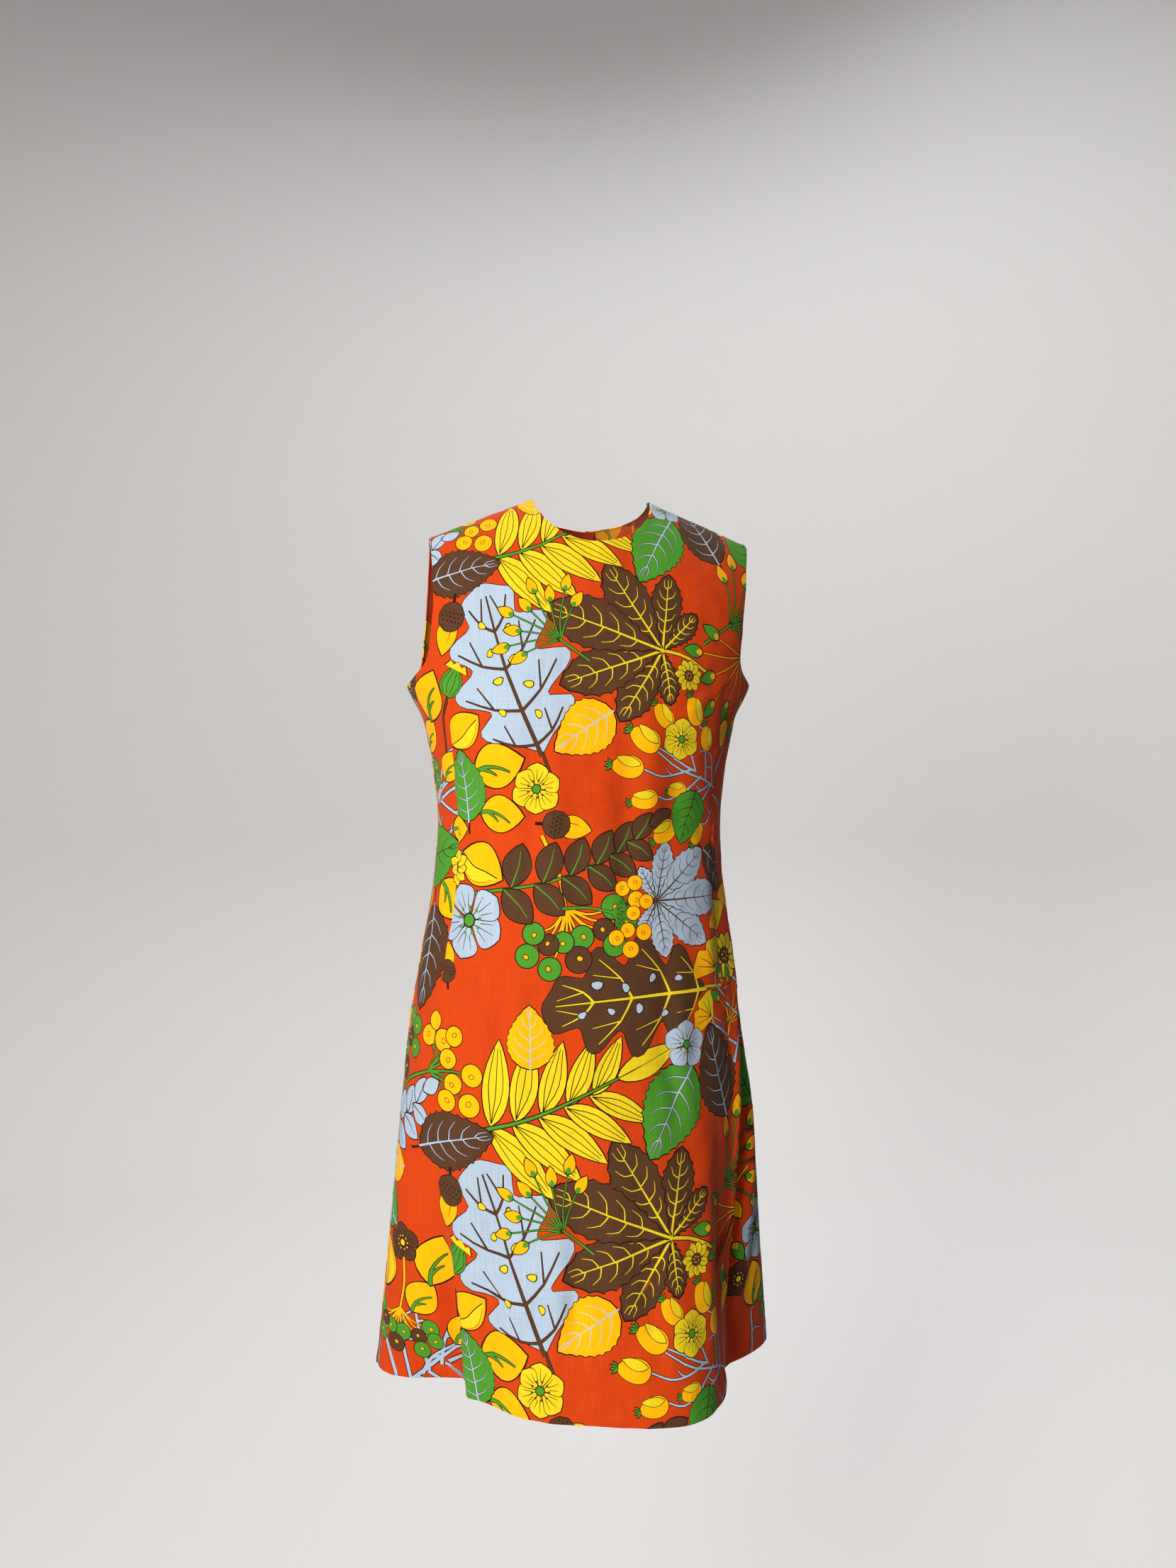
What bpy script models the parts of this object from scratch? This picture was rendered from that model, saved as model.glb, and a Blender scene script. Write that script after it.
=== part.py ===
"""A sleeveless A-line shift dress of printed linen, closed by a zip at the centre back.

The cloth keeps the hollow form it has when it is worn. Metres, +Z up; the front faces -Y
and +X is the wearer's left. The origin lies midway between the two high shoulder points,
where the shoulder seams meet the neckline, so every height below is negative.
"""

import math
from collections import namedtuple

import bmesh
import bpy
from mathutils import Matrix, Vector

# The cloth and how closely its pieces meet
WALL = 0.0014
SEAM_GAP = 0.0003

# The cut: half widths from the middle, heights from the high shoulder points
NECK_HALF_WIDTH = 0.061
FRONT_NECK_DROP = 0.056
BACK_NECK_DROP = 0.019
SHOULDER_HALF_WIDTH = 0.168
SHOULDER_FALL = 0.043
SHOULDER_ROUNDING = 0.090
FRONT_CHEST_HALF_WIDTH = 0.159
BACK_CHEST_HALF_WIDTH = 0.168
ARMHOLE_CURVE = 0.45
ARMHOLE_POWER = 4.0
ARMHOLE_TOP_POWER = 1.5
UNDERARM = -0.197
HEM = -0.892
SIDE_SEAM_ANGLE = 87.0
SQUARENESS = 2.1

# Each level section is a rounded oval round a middle that sways with the wearer's stance
Section = namedtuple("Section", "height half_width front back middle")
SECTIONS = (
    Section(0.000, 0.190, 0.060, 0.060, 0.000),
    Section(-0.056, 0.190, 0.0735, 0.080, -0.001),
    Section(-0.120, 0.187, 0.0955, 0.096, -0.005),
    Section(-0.197, 0.1705, 0.1125, 0.104, -0.011),
    Section(-0.250, 0.1592, 0.118, 0.102, -0.011),
    Section(-0.300, 0.151, 0.1155, 0.095, -0.011),
    Section(-0.345, 0.149, 0.109, 0.090, -0.011),
    Section(-0.405, 0.153, 0.111, 0.094, -0.012),
    Section(-0.480, 0.165, 0.117, 0.106, -0.013),
    Section(-0.550, 0.175, 0.123, 0.115, -0.014),
    Section(-0.655, 0.189, 0.133, 0.124, -0.011),
    Section(-0.783, 0.201, 0.148, 0.137, -0.011),
    Section(-0.892, 0.212, 0.162, 0.148, -0.011),
)

# The fullness over the bust that the darts shape
BUST_HEIGHT = -0.238
BUST_HALF_SPACING = 0.082
BUST_REACH = 0.008
BUST_SPREAD = 0.050

# Round each underarm point the cloth stands off sideways: degrees round, metres up and down
UNDERARM_REACH = 0.0092
UNDERARM_TURN = 14.0
UNDERARM_ABOVE = 0.010
UNDERARM_BELOW = 0.017

# Flutes of the skirt: angle from the centre front and spread in degrees, reach at the hem
Flute = namedtuple("Flute", "angle reach spread top")
FLUTES = (
    Flute(-66, -0.060, 7, -0.600),
    Flute(-47, -0.036, 12, -0.520),
    Flute(-20, -0.010, 14, -0.450),
    Flute(26, 0.016, 11, -0.470),
    Flute(66, -0.047, 12, -0.500),
    Flute(-148, 0.012, 13, -0.500),
    Flute(-118, -0.016, 12, -0.560),
    Flute(116, -0.020, 13, -0.540),
    Flute(150, 0.010, 12, -0.480),
    Flute(177, -0.014, 13, -0.520),
)
FLUTE_GROWTH = 1.4

# The grid of each panel
NECK_COLUMNS = 6
SHOULDER_COLUMNS = 11
COLUMNS = NECK_COLUMNS + SHOULDER_COLUMNS
SKIRT_ROWS = 22
BODICE_ROWS = 10

# The zip at the centre back
ZIP_END_ROW = 11
ZIP_OPENING = 0.0050
ZIP_CLOSING_LENGTH = 0.035
TAPE_HALF_WIDTH = 0.0120
TAPE_THICKNESS = 0.0010
TAPE_GAP = 0.0006
TAPE_COLUMNS = 4
CHAIN_HALF_WIDTH = ZIP_OPENING / 2 - SEAM_GAP
CHAIN_PROUD = 0.0004
CHAIN_COLUMNS = 2
CHAIN_TOP_ROWS = 2
SLIDER_BELOW_NECK = 0.012
SLIDER_SIZE = Vector((0.0084, 0.0104, 0.0016))
SLIDER_CORNER = 0.0018
BAIL_REACH = 0.0045
BAIL_WIDTH = 0.0016
BAIL_STRAP = 0.0010
BAIL_HEIGHT = 0.0038
AXIS_HEIGHT = 0.0018
PULL_THICKNESS = 0.0010
PULL_TOP_WIDTH = 0.0050
PULL_END_WIDTH = 0.0066
PULL_LENGTH = 0.0240
PULL_HOLE_WIDTH = 0.0028
PULL_HOLE_END = 0.0060
PULL_TIP_CLEARANCE = 0.0012

PRINTED_LINEN = (0.72, 0.10, 0.03)
ZIP_CLOTH = (0.62, 0.09, 0.03)
BRASS = (0.70, 0.58, 0.34)

# Steps for reading the surface's slope: metres down, degrees round
FINE_STEP = 1e-5
FINE_TURN = 0.02


def smooth_rise(share):
    """0 to 1 with level ends."""
    share = min(max(share, 0.0), 1.0)
    return share * share * (3 - 2 * share)


def section_at(height):
    """The section at any height, each column read from a smooth curve through the table."""
    height = min(max(height, SECTIONS[-1].height), SECTIONS[0].height)
    lower = next(i for i in range(1, len(SECTIONS)) if SECTIONS[i].height <= height)
    upper = lower - 1
    span = SECTIONS[lower].height - SECTIONS[upper].height
    t = (height - SECTIONS[upper].height) / span

    def slope(index, column):
        before = SECTIONS[max(index - 1, 0)]
        after = SECTIONS[min(index + 1, len(SECTIONS) - 1)]
        return (after[column] - before[column]) / (after.height - before.height)

    values = [height]
    for column in range(1, len(Section._fields)):
        values.append(
            (1 + 2 * t) * (1 - t) ** 2 * SECTIONS[upper][column]
            + t * (1 - t) ** 2 * span * slope(upper, column)
            + t * t * (3 - 2 * t) * SECTIONS[lower][column]
            + t * t * (t - 1) * span * slope(lower, column)
        )
    return Section(*values)


def flute_reach(angle, height):
    """How far the skirt's flutes carry the cloth out or in at an angle from the front."""
    reach = 0.0
    for flute in FLUTES:
        growth = min(max((flute.top - height) / (flute.top - HEM), 0.0), 1.0)
        turn = (angle - flute.angle + 180) % 360 - 180
        bell = math.exp(-0.5 * (turn / flute.spread) ** 2)
        reach += flute.reach * growth**FLUTE_GROWTH * bell
    return reach


def radius(angle, height):
    """Distance of the cloth from the section's middle, at an angle from the centre front."""
    section = section_at(height)
    turn = math.radians(angle)
    depth = section.front if math.cos(turn) > 0 else section.back
    across = abs(math.sin(turn)) / section.half_width
    along = abs(math.cos(turn)) / depth
    oval = (across**SQUARENESS + along**SQUARENESS) ** (-1 / SQUARENESS)
    return oval + flute_reach(angle, height)


def shoulder_height(across):
    """Height of the shoulder line at a distance from the middle."""
    run = SHOULDER_HALF_WIDTH - NECK_HALF_WIDTH
    return -SHOULDER_FALL * (abs(across) - NECK_HALF_WIDTH) / run


def underarm_stand(angle, height):
    """How far the cloth stands off sideways near an underarm point."""
    beside = (abs(angle) - SIDE_SEAM_ANGLE) / UNDERARM_TURN
    above = (height - UNDERARM) / (UNDERARM_ABOVE if height > UNDERARM else UNDERARM_BELOW)
    return math.copysign(UNDERARM_REACH * math.exp(-0.5 * (beside**2 + above**2)), angle)


def cloth_point(angle, height):
    """A point of the dress's outer face."""
    turn = math.radians(angle)
    reach = radius(angle, height)
    across = reach * math.sin(turn)
    depth = -reach * math.cos(turn)
    drop = (shoulder_height(across) - height) / SHOULDER_ROUNDING
    closing = math.sqrt(1 - (1 - min(max(drop, 0.0), 1.0)) ** 2)
    if depth < 0:
        beside = (abs(across) - BUST_HALF_SPACING) / BUST_SPREAD
        above = (height - BUST_HEIGHT) / BUST_SPREAD
        depth -= BUST_REACH * math.exp(-0.5 * (beside**2 + above**2))
    across += section_at(height).middle + underarm_stand(angle, height)
    return Vector((across, depth * closing, height))


def cloth_normal(angle, height):
    """The outward direction of the outer face."""
    across = radius(angle, height) * math.sin(math.radians(angle))
    height = min(height, shoulder_height(across) - FINE_STEP)
    around = cloth_point(angle + FINE_TURN, height) - cloth_point(angle - FINE_TURN, height)
    down = cloth_point(angle, height - FINE_STEP) - cloth_point(angle, height)
    return down.cross(around).normalized()


def angle_at(across, height, is_back):
    """The angle at which the bodice's section is this far from the middle."""
    section = section_at(height)
    share = min(abs(across) / section.half_width, 1.0)
    full_depth = section.back if is_back else section.front
    depth = full_depth * (1 - share**SQUARENESS) ** (1 / SQUARENESS)
    angle = math.degrees(math.atan2(abs(across), depth))
    return math.copysign(180 - angle if is_back else angle, across)


def armhole_half_width(rise, seam_half_width, is_back):
    """The armhole edge's distance from the middle, from the underarm (0) to the tip (1)."""
    chest = BACK_CHEST_HALF_WIDTH if is_back else FRONT_CHEST_HALF_WIDTH
    below = max(0.0, 1 - rise / ARMHOLE_CURVE) ** ARMHOLE_POWER
    above = max(0.0, (rise - ARMHOLE_CURVE) / (1 - ARMHOLE_CURVE)) ** ARMHOLE_TOP_POWER
    return chest + (seam_half_width - chest) * below + (SHOULDER_HALF_WIDTH - chest) * above


def top_edge(column, is_back):
    """Distance from the middle and height where a column ends, on neckline or shoulder."""
    if column <= NECK_COLUMNS:
        sweep = math.pi / 2 * column / NECK_COLUMNS
        drop = BACK_NECK_DROP if is_back else FRONT_NECK_DROP
        return NECK_HALF_WIDTH * math.sin(sweep), -drop * math.cos(sweep)
    share = (column - NECK_COLUMNS) / SHOULDER_COLUMNS
    across = NECK_HALF_WIDTH + share * (SHOULDER_HALF_WIDTH - NECK_HALF_WIDTH)
    return across, -SHOULDER_FALL * share


def skirt_row_height(row):
    """Height of a level row, from the hem (row 0) to the underarm."""
    return HEM + (UNDERARM - HEM) * min(row / SKIRT_ROWS, 1.0)


def back_edge(height):
    """Half the gap between the two backs: open for the zip, a sewn seam below it."""
    fully_open = skirt_row_height(ZIP_END_ROW) - ZIP_CLOSING_LENGTH
    closed = smooth_rise((fully_open - height) / ZIP_CLOSING_LENGTH)
    return (ZIP_OPENING + (SEAM_GAP - ZIP_OPENING) * closed) / 2


def panel_sweep(row, is_back):
    """Degrees from a panel's middle to its side edge, half a seam's gap short of the seam."""
    gap = math.degrees(SEAM_GAP / 2 / radius(SIDE_SEAM_ANGLE, skirt_row_height(row)))
    return (180 - SIDE_SEAM_ANGLE if is_back else SIDE_SEAM_ANGLE) - gap


def panel_place(column, row, is_back):
    """Angle and height of one grid point on the wearer's left half of a panel.

    Columns run from the panel's middle to the side seam and armhole. Rows run level from
    the hem to the underarm, then fan out to the neckline and the shoulder.
    """
    share = column / COLUMNS
    sweep = panel_sweep(row, is_back)
    if row <= SKIRT_ROWS:
        height = skirt_row_height(row)
        angle = share * sweep
        if is_back:
            angle += (1 - share) * math.degrees(back_edge(height) / radius(180, height))
            angle = 180 - angle
        return angle, height
    rise = (1 - math.cos(math.pi * (row - SKIRT_ROWS) / BODICE_ROWS)) / 2
    top_across, top_height = top_edge(column, is_back)
    height = UNDERARM + rise * (top_height - UNDERARM)

    def underarm_across(part):
        turn = part * sweep
        return radius(180 - turn if is_back else turn, UNDERARM) * math.sin(math.radians(turn))

    edge = armhole_half_width(rise, underarm_across(1.0), is_back)
    straight = (1 - rise) * underarm_across(1.0) + rise * SHOULDER_HALF_WIDTH
    across = (1 - rise) * underarm_across(share) + rise * top_across + share * (edge - straight)
    if is_back:
        across += (1 - share) * back_edge(height)
    return angle_at(across, height, is_back), height


def shared_material(name, colour, roughness, metallic):
    material = bpy.data.materials.get(name) or bpy.data.materials.new(name)
    material.use_nodes = True
    shader = material.node_tree.nodes["Principled BSDF"]
    shader.inputs["Base Color"].default_value = (*colour, 1.0)
    shader.inputs["Roughness"].default_value = roughness
    shader.inputs["Metallic"].default_value = metallic
    return material


def add_object(name, shape, material, place=None):
    """A named object from a bmesh, set at a place if one is given."""
    bmesh.ops.recalc_face_normals(shape, faces=shape.faces[:])
    mesh = bpy.data.meshes.new(name)
    shape.to_mesh(mesh)
    shape.free()
    mesh.shade_smooth()
    mesh.set_sharp_from_angle(angle=math.radians(35))
    mesh.materials.append(material)
    piece = bpy.data.objects.new(name, mesh)
    if place:
        piece.matrix_world = place
    bpy.context.scene.collection.objects.link(piece)
    return piece


def add_wall(name, places, outside, inside, material):
    """A closed wall over a grid of (angle, height) rows, between two distances outward.

    The seam along the shoulder is kept flat: there each half stands off the shoulder line.
    """
    shape = bmesh.new()

    def layer(out):
        rows = []
        for row in places:
            points = []
            for angle, height in row:
                point = cloth_point(angle, height) + out * cloth_normal(angle, height)
                side = -1 if abs(angle) < 90 else 1
                point.y = side * max(side * point.y, SEAM_GAP / 2)
                points.append(shape.verts.new(point))
            rows.append(points)
        return rows

    def skin(rows):
        for below, above in zip(rows, rows[1:]):
            for left in range(len(below) - 1):
                corners = below[left], below[left + 1], above[left + 1], above[left]
                shape.faces.new(corners)

    def loop(rows):
        up = [row[-1] for row in rows[1:-1]]
        down = [row[0] for row in rows[-2:0:-1]]
        return rows[0] + up + rows[-1][::-1] + down

    outer, inner = layer(outside), layer(inside)
    skin(outer)
    skin(inner)
    rim = list(zip(loop(outer), loop(inner)))
    for (outer_a, inner_a), (outer_b, inner_b) in zip(rim, rim[1:] + rim[:1]):
        shape.faces.new((outer_a, outer_b, inner_b, inner_a))
    return add_object(name, shape, material)


def make_panels():
    cloth = shared_material("printed linen", PRINTED_LINEN, 0.85, 0.0)
    rows = range(SKIRT_ROWS + BODICE_ROWS + 1)

    def half(row, is_back, side):
        places = [panel_place(column, row, is_back) for column in range(COLUMNS + 1)]
        return [(side * angle, height) for angle, height in places]

    front = [half(row, False, -1)[:0:-1] + half(row, False, 1) for row in rows]
    add_wall("front", front, 0.0, -WALL, cloth)
    add_wall("back_left", [half(row, True, 1) for row in rows], 0.0, -WALL, cloth)
    add_wall("back_right", [half(row, True, -1) for row in rows], 0.0, -WALL, cloth)


def zip_strip(half_width, columns, first_row, last_row):
    """Places of a strip down the centre back, on the same rows as the back panels."""
    strip = []
    for row in range(first_row, last_row + 1):
        height = panel_place(0, row, True)[1]
        reach = radius(180, height)
        turns = [half_width * (2 * i / columns - 1) / reach for i in range(columns + 1)]
        strip.append([(180 + math.degrees(turn), height) for turn in turns])
    return strip


def make_zip_tape_and_chain():
    last_row = SKIRT_ROWS + BODICE_ROWS
    under = -WALL - TAPE_GAP
    cloth = shared_material("zip tape", ZIP_CLOTH, 0.8, 0.0)
    tape = zip_strip(TAPE_HALF_WIDTH, TAPE_COLUMNS, ZIP_END_ROW - 1, last_row)
    add_wall("zip_tape", tape, under, under - TAPE_THICKNESS, cloth)
    metal = shared_material("zip brass", BRASS, 0.35, 1.0)
    chain = zip_strip(CHAIN_HALF_WIDTH, CHAIN_COLUMNS, ZIP_END_ROW, last_row - CHAIN_TOP_ROWS)
    add_wall("zip_chain", chain, CHAIN_PROUD, -WALL, metal)


def block(shape, low, high):
    """A box between two corners."""
    low, high = Vector(low), Vector(high)
    made = bmesh.ops.create_cube(shape, size=1.0)["verts"]
    bmesh.ops.scale(shape, vec=high - low, verts=made)
    bmesh.ops.translate(shape, vec=(low + high) / 2, verts=made)
    return made


def slider_frame():
    """X across, Y up along the back and Z outward, on the chain's face at the slider."""
    height = -BACK_NECK_DROP - SLIDER_BELOW_NECK
    outward = cloth_normal(180, height)
    across = Vector((1, 0, 0))
    outward = (outward - across * outward.dot(across)).normalized()
    along = outward.cross(across)
    origin = cloth_point(180, height) + outward * (CHAIN_PROUD + SEAM_GAP)
    frame = Matrix((across, along, outward)).transposed().to_4x4()
    frame.translation = origin
    return frame


def make_slider(frame):
    """The plate that runs on the chain, and the bail that the pull hangs from."""
    metal = shared_material("zip brass", BRASS, 0.35, 1.0)
    shape = bmesh.new()
    half = SLIDER_SIZE / 2
    block(shape, (-half.x, -half.y, 0), (half.x, half.y, SLIDER_SIZE.z))
    upright = [e for e in shape.edges if abs(e.verts[0].co.z - e.verts[1].co.z) > SLIDER_SIZE.z / 2]
    bmesh.ops.bevel(
        shape, geom=upright, offset=SLIDER_CORNER, segments=3, profile=0.5, affect="EDGES", material=-1
    )
    slider = add_object("zip_slider", shape, metal, frame)

    bail = bmesh.new()
    top = SLIDER_SIZE.z + BAIL_HEIGHT
    side = BAIL_WIDTH / 2
    outer, inner = BAIL_REACH, BAIL_REACH - BAIL_STRAP
    sunk = SLIDER_SIZE.z / 2
    outline = (
        (-outer, sunk), (-inner, sunk), (-inner, top - BAIL_STRAP), (inner, top - BAIL_STRAP),
        (inner, sunk), (outer, sunk), (outer, top), (-outer, top),
    )
    face = bail.faces.new([bail.verts.new((-side, y, z)) for y, z in outline])
    swept = bmesh.ops.extrude_face_region(bail, geom=[face])["geom"]
    moved = [v for v in swept if isinstance(v, bmesh.types.BMVert)]
    bmesh.ops.translate(bail, vec=(BAIL_WIDTH, 0, 0), verts=moved)
    cutter = add_object("bail", bail, metal, frame)
    cutter.hide_render = True
    cutter.display_type = "WIRE"
    union = slider.modifiers.new("bail", "BOOLEAN")
    union.operation = "UNION"
    union.object = cutter


def make_pull(frame):
    """The flat tab. Its top bar turns under the bail; at rest it leans on the cloth."""
    axis = frame @ Vector((0, 0, SLIDER_SIZE.z + AXIS_HEIGHT))
    tip_height = axis.z - PULL_LENGTH
    tip = cloth_point(180, tip_height) + cloth_normal(180, tip_height) * PULL_TIP_CLEARANCE
    hang = (tip - axis) * Vector((0, 1, 1))
    along = -hang.normalized()
    across = Vector((1, 0, 0))
    place = Matrix((across, along, across.cross(along))).transposed().to_4x4()
    place.translation = axis

    shape = bmesh.new()
    half = PULL_THICKNESS / 2
    outline = (
        (PULL_TOP_WIDTH / 2, half), (PULL_TOP_WIDTH / 2, -PULL_HOLE_END - half),
        (PULL_END_WIDTH / 2, -PULL_LENGTH + PULL_END_WIDTH / 2),
        (PULL_END_WIDTH / 4, -PULL_LENGTH),
    )
    mirrored = [(-x, y) for x, y in reversed(outline)]
    hole = PULL_HOLE_WIDTH / 2
    face = shape.faces.new([shape.verts.new((x, y, -half)) for x, y in (*outline, *mirrored)])
    swept = bmesh.ops.extrude_face_region(shape, geom=[face])["geom"]
    moved = [v for v in swept if isinstance(v, bmesh.types.BMVert)]
    bmesh.ops.translate(shape, vec=(0, 0, PULL_THICKNESS), verts=moved)
    metal = shared_material("zip brass", BRASS, 0.35, 1.0)
    pull = add_object("zip_pull", shape, metal, place)

    slot = bmesh.new()
    block(slot, (-hole, -PULL_HOLE_END, -PULL_THICKNESS), (hole, -half, PULL_THICKNESS))
    cutter = add_object("pull_hole", slot, metal, place)
    cutter.hide_render = True
    cutter.display_type = "WIRE"
    cut = pull.modifiers.new("hole", "BOOLEAN")
    cut.operation = "DIFFERENCE"
    cut.object = cutter


for old in list(bpy.data.objects):
    bpy.data.objects.remove(old, do_unlink=True)

make_panels()
make_zip_tape_and_chain()
slider_place = slider_frame()
make_slider(slider_place)
make_pull(slider_place)
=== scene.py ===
"""A sleeveless A-line shift dress of printed linen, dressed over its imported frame.

Metres, +Z up; the front faces -Y and +X is the wearer's left. Panels are cut flat, printed,
and then laid on the form that the cloth holds when it is worn.
"""

import math
import random
from collections import namedtuple

import bmesh
import bpy
import numpy as np
from mathutils import Matrix, Vector
from mathutils.bvhtree import BVHTree
from mathutils.geometry import delaunay_2d_cdt


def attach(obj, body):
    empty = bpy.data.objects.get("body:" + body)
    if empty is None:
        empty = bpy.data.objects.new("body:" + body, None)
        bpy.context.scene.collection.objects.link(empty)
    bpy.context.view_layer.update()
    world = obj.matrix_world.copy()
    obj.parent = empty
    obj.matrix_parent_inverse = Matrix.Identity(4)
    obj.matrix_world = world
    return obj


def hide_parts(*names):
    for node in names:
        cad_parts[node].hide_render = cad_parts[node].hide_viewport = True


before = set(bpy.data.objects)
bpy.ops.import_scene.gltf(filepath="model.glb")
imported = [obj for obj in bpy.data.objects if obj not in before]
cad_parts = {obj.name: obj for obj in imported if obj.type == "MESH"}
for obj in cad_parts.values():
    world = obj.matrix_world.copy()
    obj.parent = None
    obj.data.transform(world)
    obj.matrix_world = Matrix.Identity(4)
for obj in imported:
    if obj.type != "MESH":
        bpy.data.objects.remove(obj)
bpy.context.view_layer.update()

# ---------------------------------------------------------------------------
# The form of the dress: the hollow shape that the sewn cloth holds. Level sections are
# rounded ovals, closed over the shoulders, with fullness over the bust and flutes in the skirt.

WALL = 0.0014
SEAM_GAP = 0.0003
NECK_HALF_WIDTH = 0.061
FRONT_NECK_DROP = 0.056
BACK_NECK_DROP = 0.019
SHOULDER_HALF_WIDTH = 0.168
SHOULDER_FALL = 0.043
SHOULDER_ROUNDING = 0.090
FRONT_CHEST_HALF_WIDTH = 0.159
BACK_CHEST_HALF_WIDTH = 0.168
ARMHOLE_CURVE = 0.45
ARMHOLE_POWER = 4.0
ARMHOLE_TOP_POWER = 1.5
UNDERARM = -0.197
HEM = -0.892
SIDE_SEAM_ANGLE = 87.0
SQUARENESS = 2.1
# height, half width, front depth, back depth, middle
SECTIONS = np.array((
    (0.000, 0.190, 0.060, 0.060, 0.000),
    (-0.056, 0.190, 0.0735, 0.080, -0.001),
    (-0.120, 0.187, 0.0955, 0.096, -0.005),
    (-0.197, 0.1705, 0.1125, 0.104, -0.011),
    (-0.250, 0.1592, 0.118, 0.102, -0.011),
    (-0.300, 0.151, 0.1155, 0.095, -0.011),
    (-0.345, 0.149, 0.109, 0.090, -0.011),
    (-0.405, 0.153, 0.111, 0.094, -0.012),
    (-0.480, 0.165, 0.117, 0.106, -0.013),
    (-0.550, 0.175, 0.123, 0.115, -0.014),
    (-0.655, 0.189, 0.133, 0.124, -0.011),
    (-0.783, 0.201, 0.148, 0.137, -0.011),
    (-0.892, 0.212, 0.162, 0.148, -0.011),
))
BUST_HEIGHT = -0.238
BUST_HALF_SPACING = 0.082
BUST_REACH = 0.008
BUST_SPREAD = 0.050
UNDERARM_REACH = 0.0092
UNDERARM_TURN = 14.0
UNDERARM_ABOVE = 0.010
UNDERARM_BELOW = 0.017
# angle, reach at the hem, spread in degrees, top
FLUTES = (
    (-66, -0.060, 7, -0.600),
    (-47, -0.036, 12, -0.520),
    (-20, -0.010, 14, -0.450),
    (26, 0.016, 11, -0.470),
    (66, -0.047, 12, -0.500),
    (-148, 0.012, 13, -0.500),
    (-118, -0.016, 12, -0.560),
    (116, -0.020, 13, -0.540),
    (150, 0.010, 12, -0.480),
    (177, -0.014, 13, -0.520),
)
FLUTE_GROWTH = 1.4
TURN_STEP = 0.02
HEIGHT_STEP = 1e-5


def section_at(height):
    """The four sizes of the level sections at an array of heights."""
    tops, sizes = SECTIONS[:, 0], SECTIONS[:, 1:]
    last = len(tops) - 1
    every = np.arange(last + 1)
    before, after = np.maximum(every - 1, 0), np.minimum(every + 1, last)
    slopes = (sizes[after] - sizes[before]) / (tops[after] - tops[before])[:, None]
    height = np.clip(height, tops[-1], tops[0])
    lower = np.clip(np.searchsorted(-tops, -height), 1, last)
    upper = lower - 1
    span = (tops[lower] - tops[upper])[:, None]
    t = (height - tops[upper])[:, None] / span
    return (
        (1 + 2 * t) * (1 - t) ** 2 * sizes[upper]
        + t * (1 - t) ** 2 * span * slopes[upper]
        + t * t * (3 - 2 * t) * sizes[lower]
        + t * t * (t - 1) * span * slopes[lower]
    )


def radius(angle, height):
    """Distance of the cloth from the middle of its section, flutes included."""
    half_width, front, back, _ = section_at(height).T
    turn = np.radians(angle)
    across = np.abs(np.sin(turn)) / half_width
    along = np.abs(np.cos(turn)) / np.where(np.cos(turn) > 0, front, back)
    reach = (across**SQUARENESS + along**SQUARENESS) ** (-1 / SQUARENESS)
    for at, out, spread, top in FLUTES:
        growth = np.clip((top - height) / (top - HEM), 0, 1) ** FLUTE_GROWTH
        beside = (angle - at + 180) % 360 - 180
        reach = reach + out * growth * np.exp(-0.5 * (beside / spread) ** 2)
    return reach


def shoulder_line(across):
    """Height of the shoulder seam's line at a distance from the middle."""
    run = SHOULDER_HALF_WIDTH - NECK_HALF_WIDTH
    return -SHOULDER_FALL * (np.abs(across) - NECK_HALF_WIDTH) / run


def closing_at(across, height):
    """How far the section has closed over the shoulder: 1 is open, 0 is shut."""
    drop = np.clip((shoulder_line(across) - height) / SHOULDER_ROUNDING, 0, 1)
    return np.sqrt(1 - (1 - drop) ** 2)


def cloth_point(angle, height, closing=None):
    """Points of the dress's outer face, from the angle round from the centre front and height."""
    turn = np.radians(angle)
    reach = radius(angle, height)
    across, depth = reach * np.sin(turn), -reach * np.cos(turn)
    if closing is None:
        closing = closing_at(across, height)
    beside = (np.abs(across) - BUST_HALF_SPACING) / BUST_SPREAD
    above = (height - BUST_HEIGHT) / BUST_SPREAD
    depth = depth - (depth < 0) * BUST_REACH * np.exp(-0.5 * (beside**2 + above**2))
    beside = (np.abs(angle) - SIDE_SEAM_ANGLE) / UNDERARM_TURN
    above = (height - UNDERARM) / np.where(height > UNDERARM, UNDERARM_ABOVE, UNDERARM_BELOW)
    stand = np.sign(angle) * UNDERARM_REACH * np.exp(-0.5 * (beside**2 + above**2))
    return np.stack([across + section_at(height)[:, 3] + stand, depth * closing, height], 1)


def unit(vectors):
    return vectors / np.maximum(np.linalg.norm(vectors, axis=1), 1e-12)[:, None]


def cloth_frame(angle, height):
    """Outward direction, and the cloth's own right and up in its surface."""
    across = radius(angle, height) * np.sin(np.radians(angle))
    height = np.minimum(height, shoulder_line(across) - HEIGHT_STEP)
    closing = closing_at(across, height)
    around = cloth_point(angle + TURN_STEP, height) - cloth_point(angle - TURN_STEP, height)
    down = cloth_point(angle, height - HEIGHT_STEP) - cloth_point(angle, height)
    outward = unit(np.cross(down, around))
    level = cloth_point(angle + TURN_STEP, height, closing)
    level -= cloth_point(angle - TURN_STEP, height, closing)
    right = unit(level - outward * (level * outward).sum(1)[:, None])
    return outward, right, np.cross(outward, right)


# ---------------------------------------------------------------------------
# The print: autumn leaves, berries and flowers in flat inks with dark drawn lines, screened on
# orange-red linen. It is drawn in millimetres on the flat cloth, x across and y up the piece.

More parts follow.
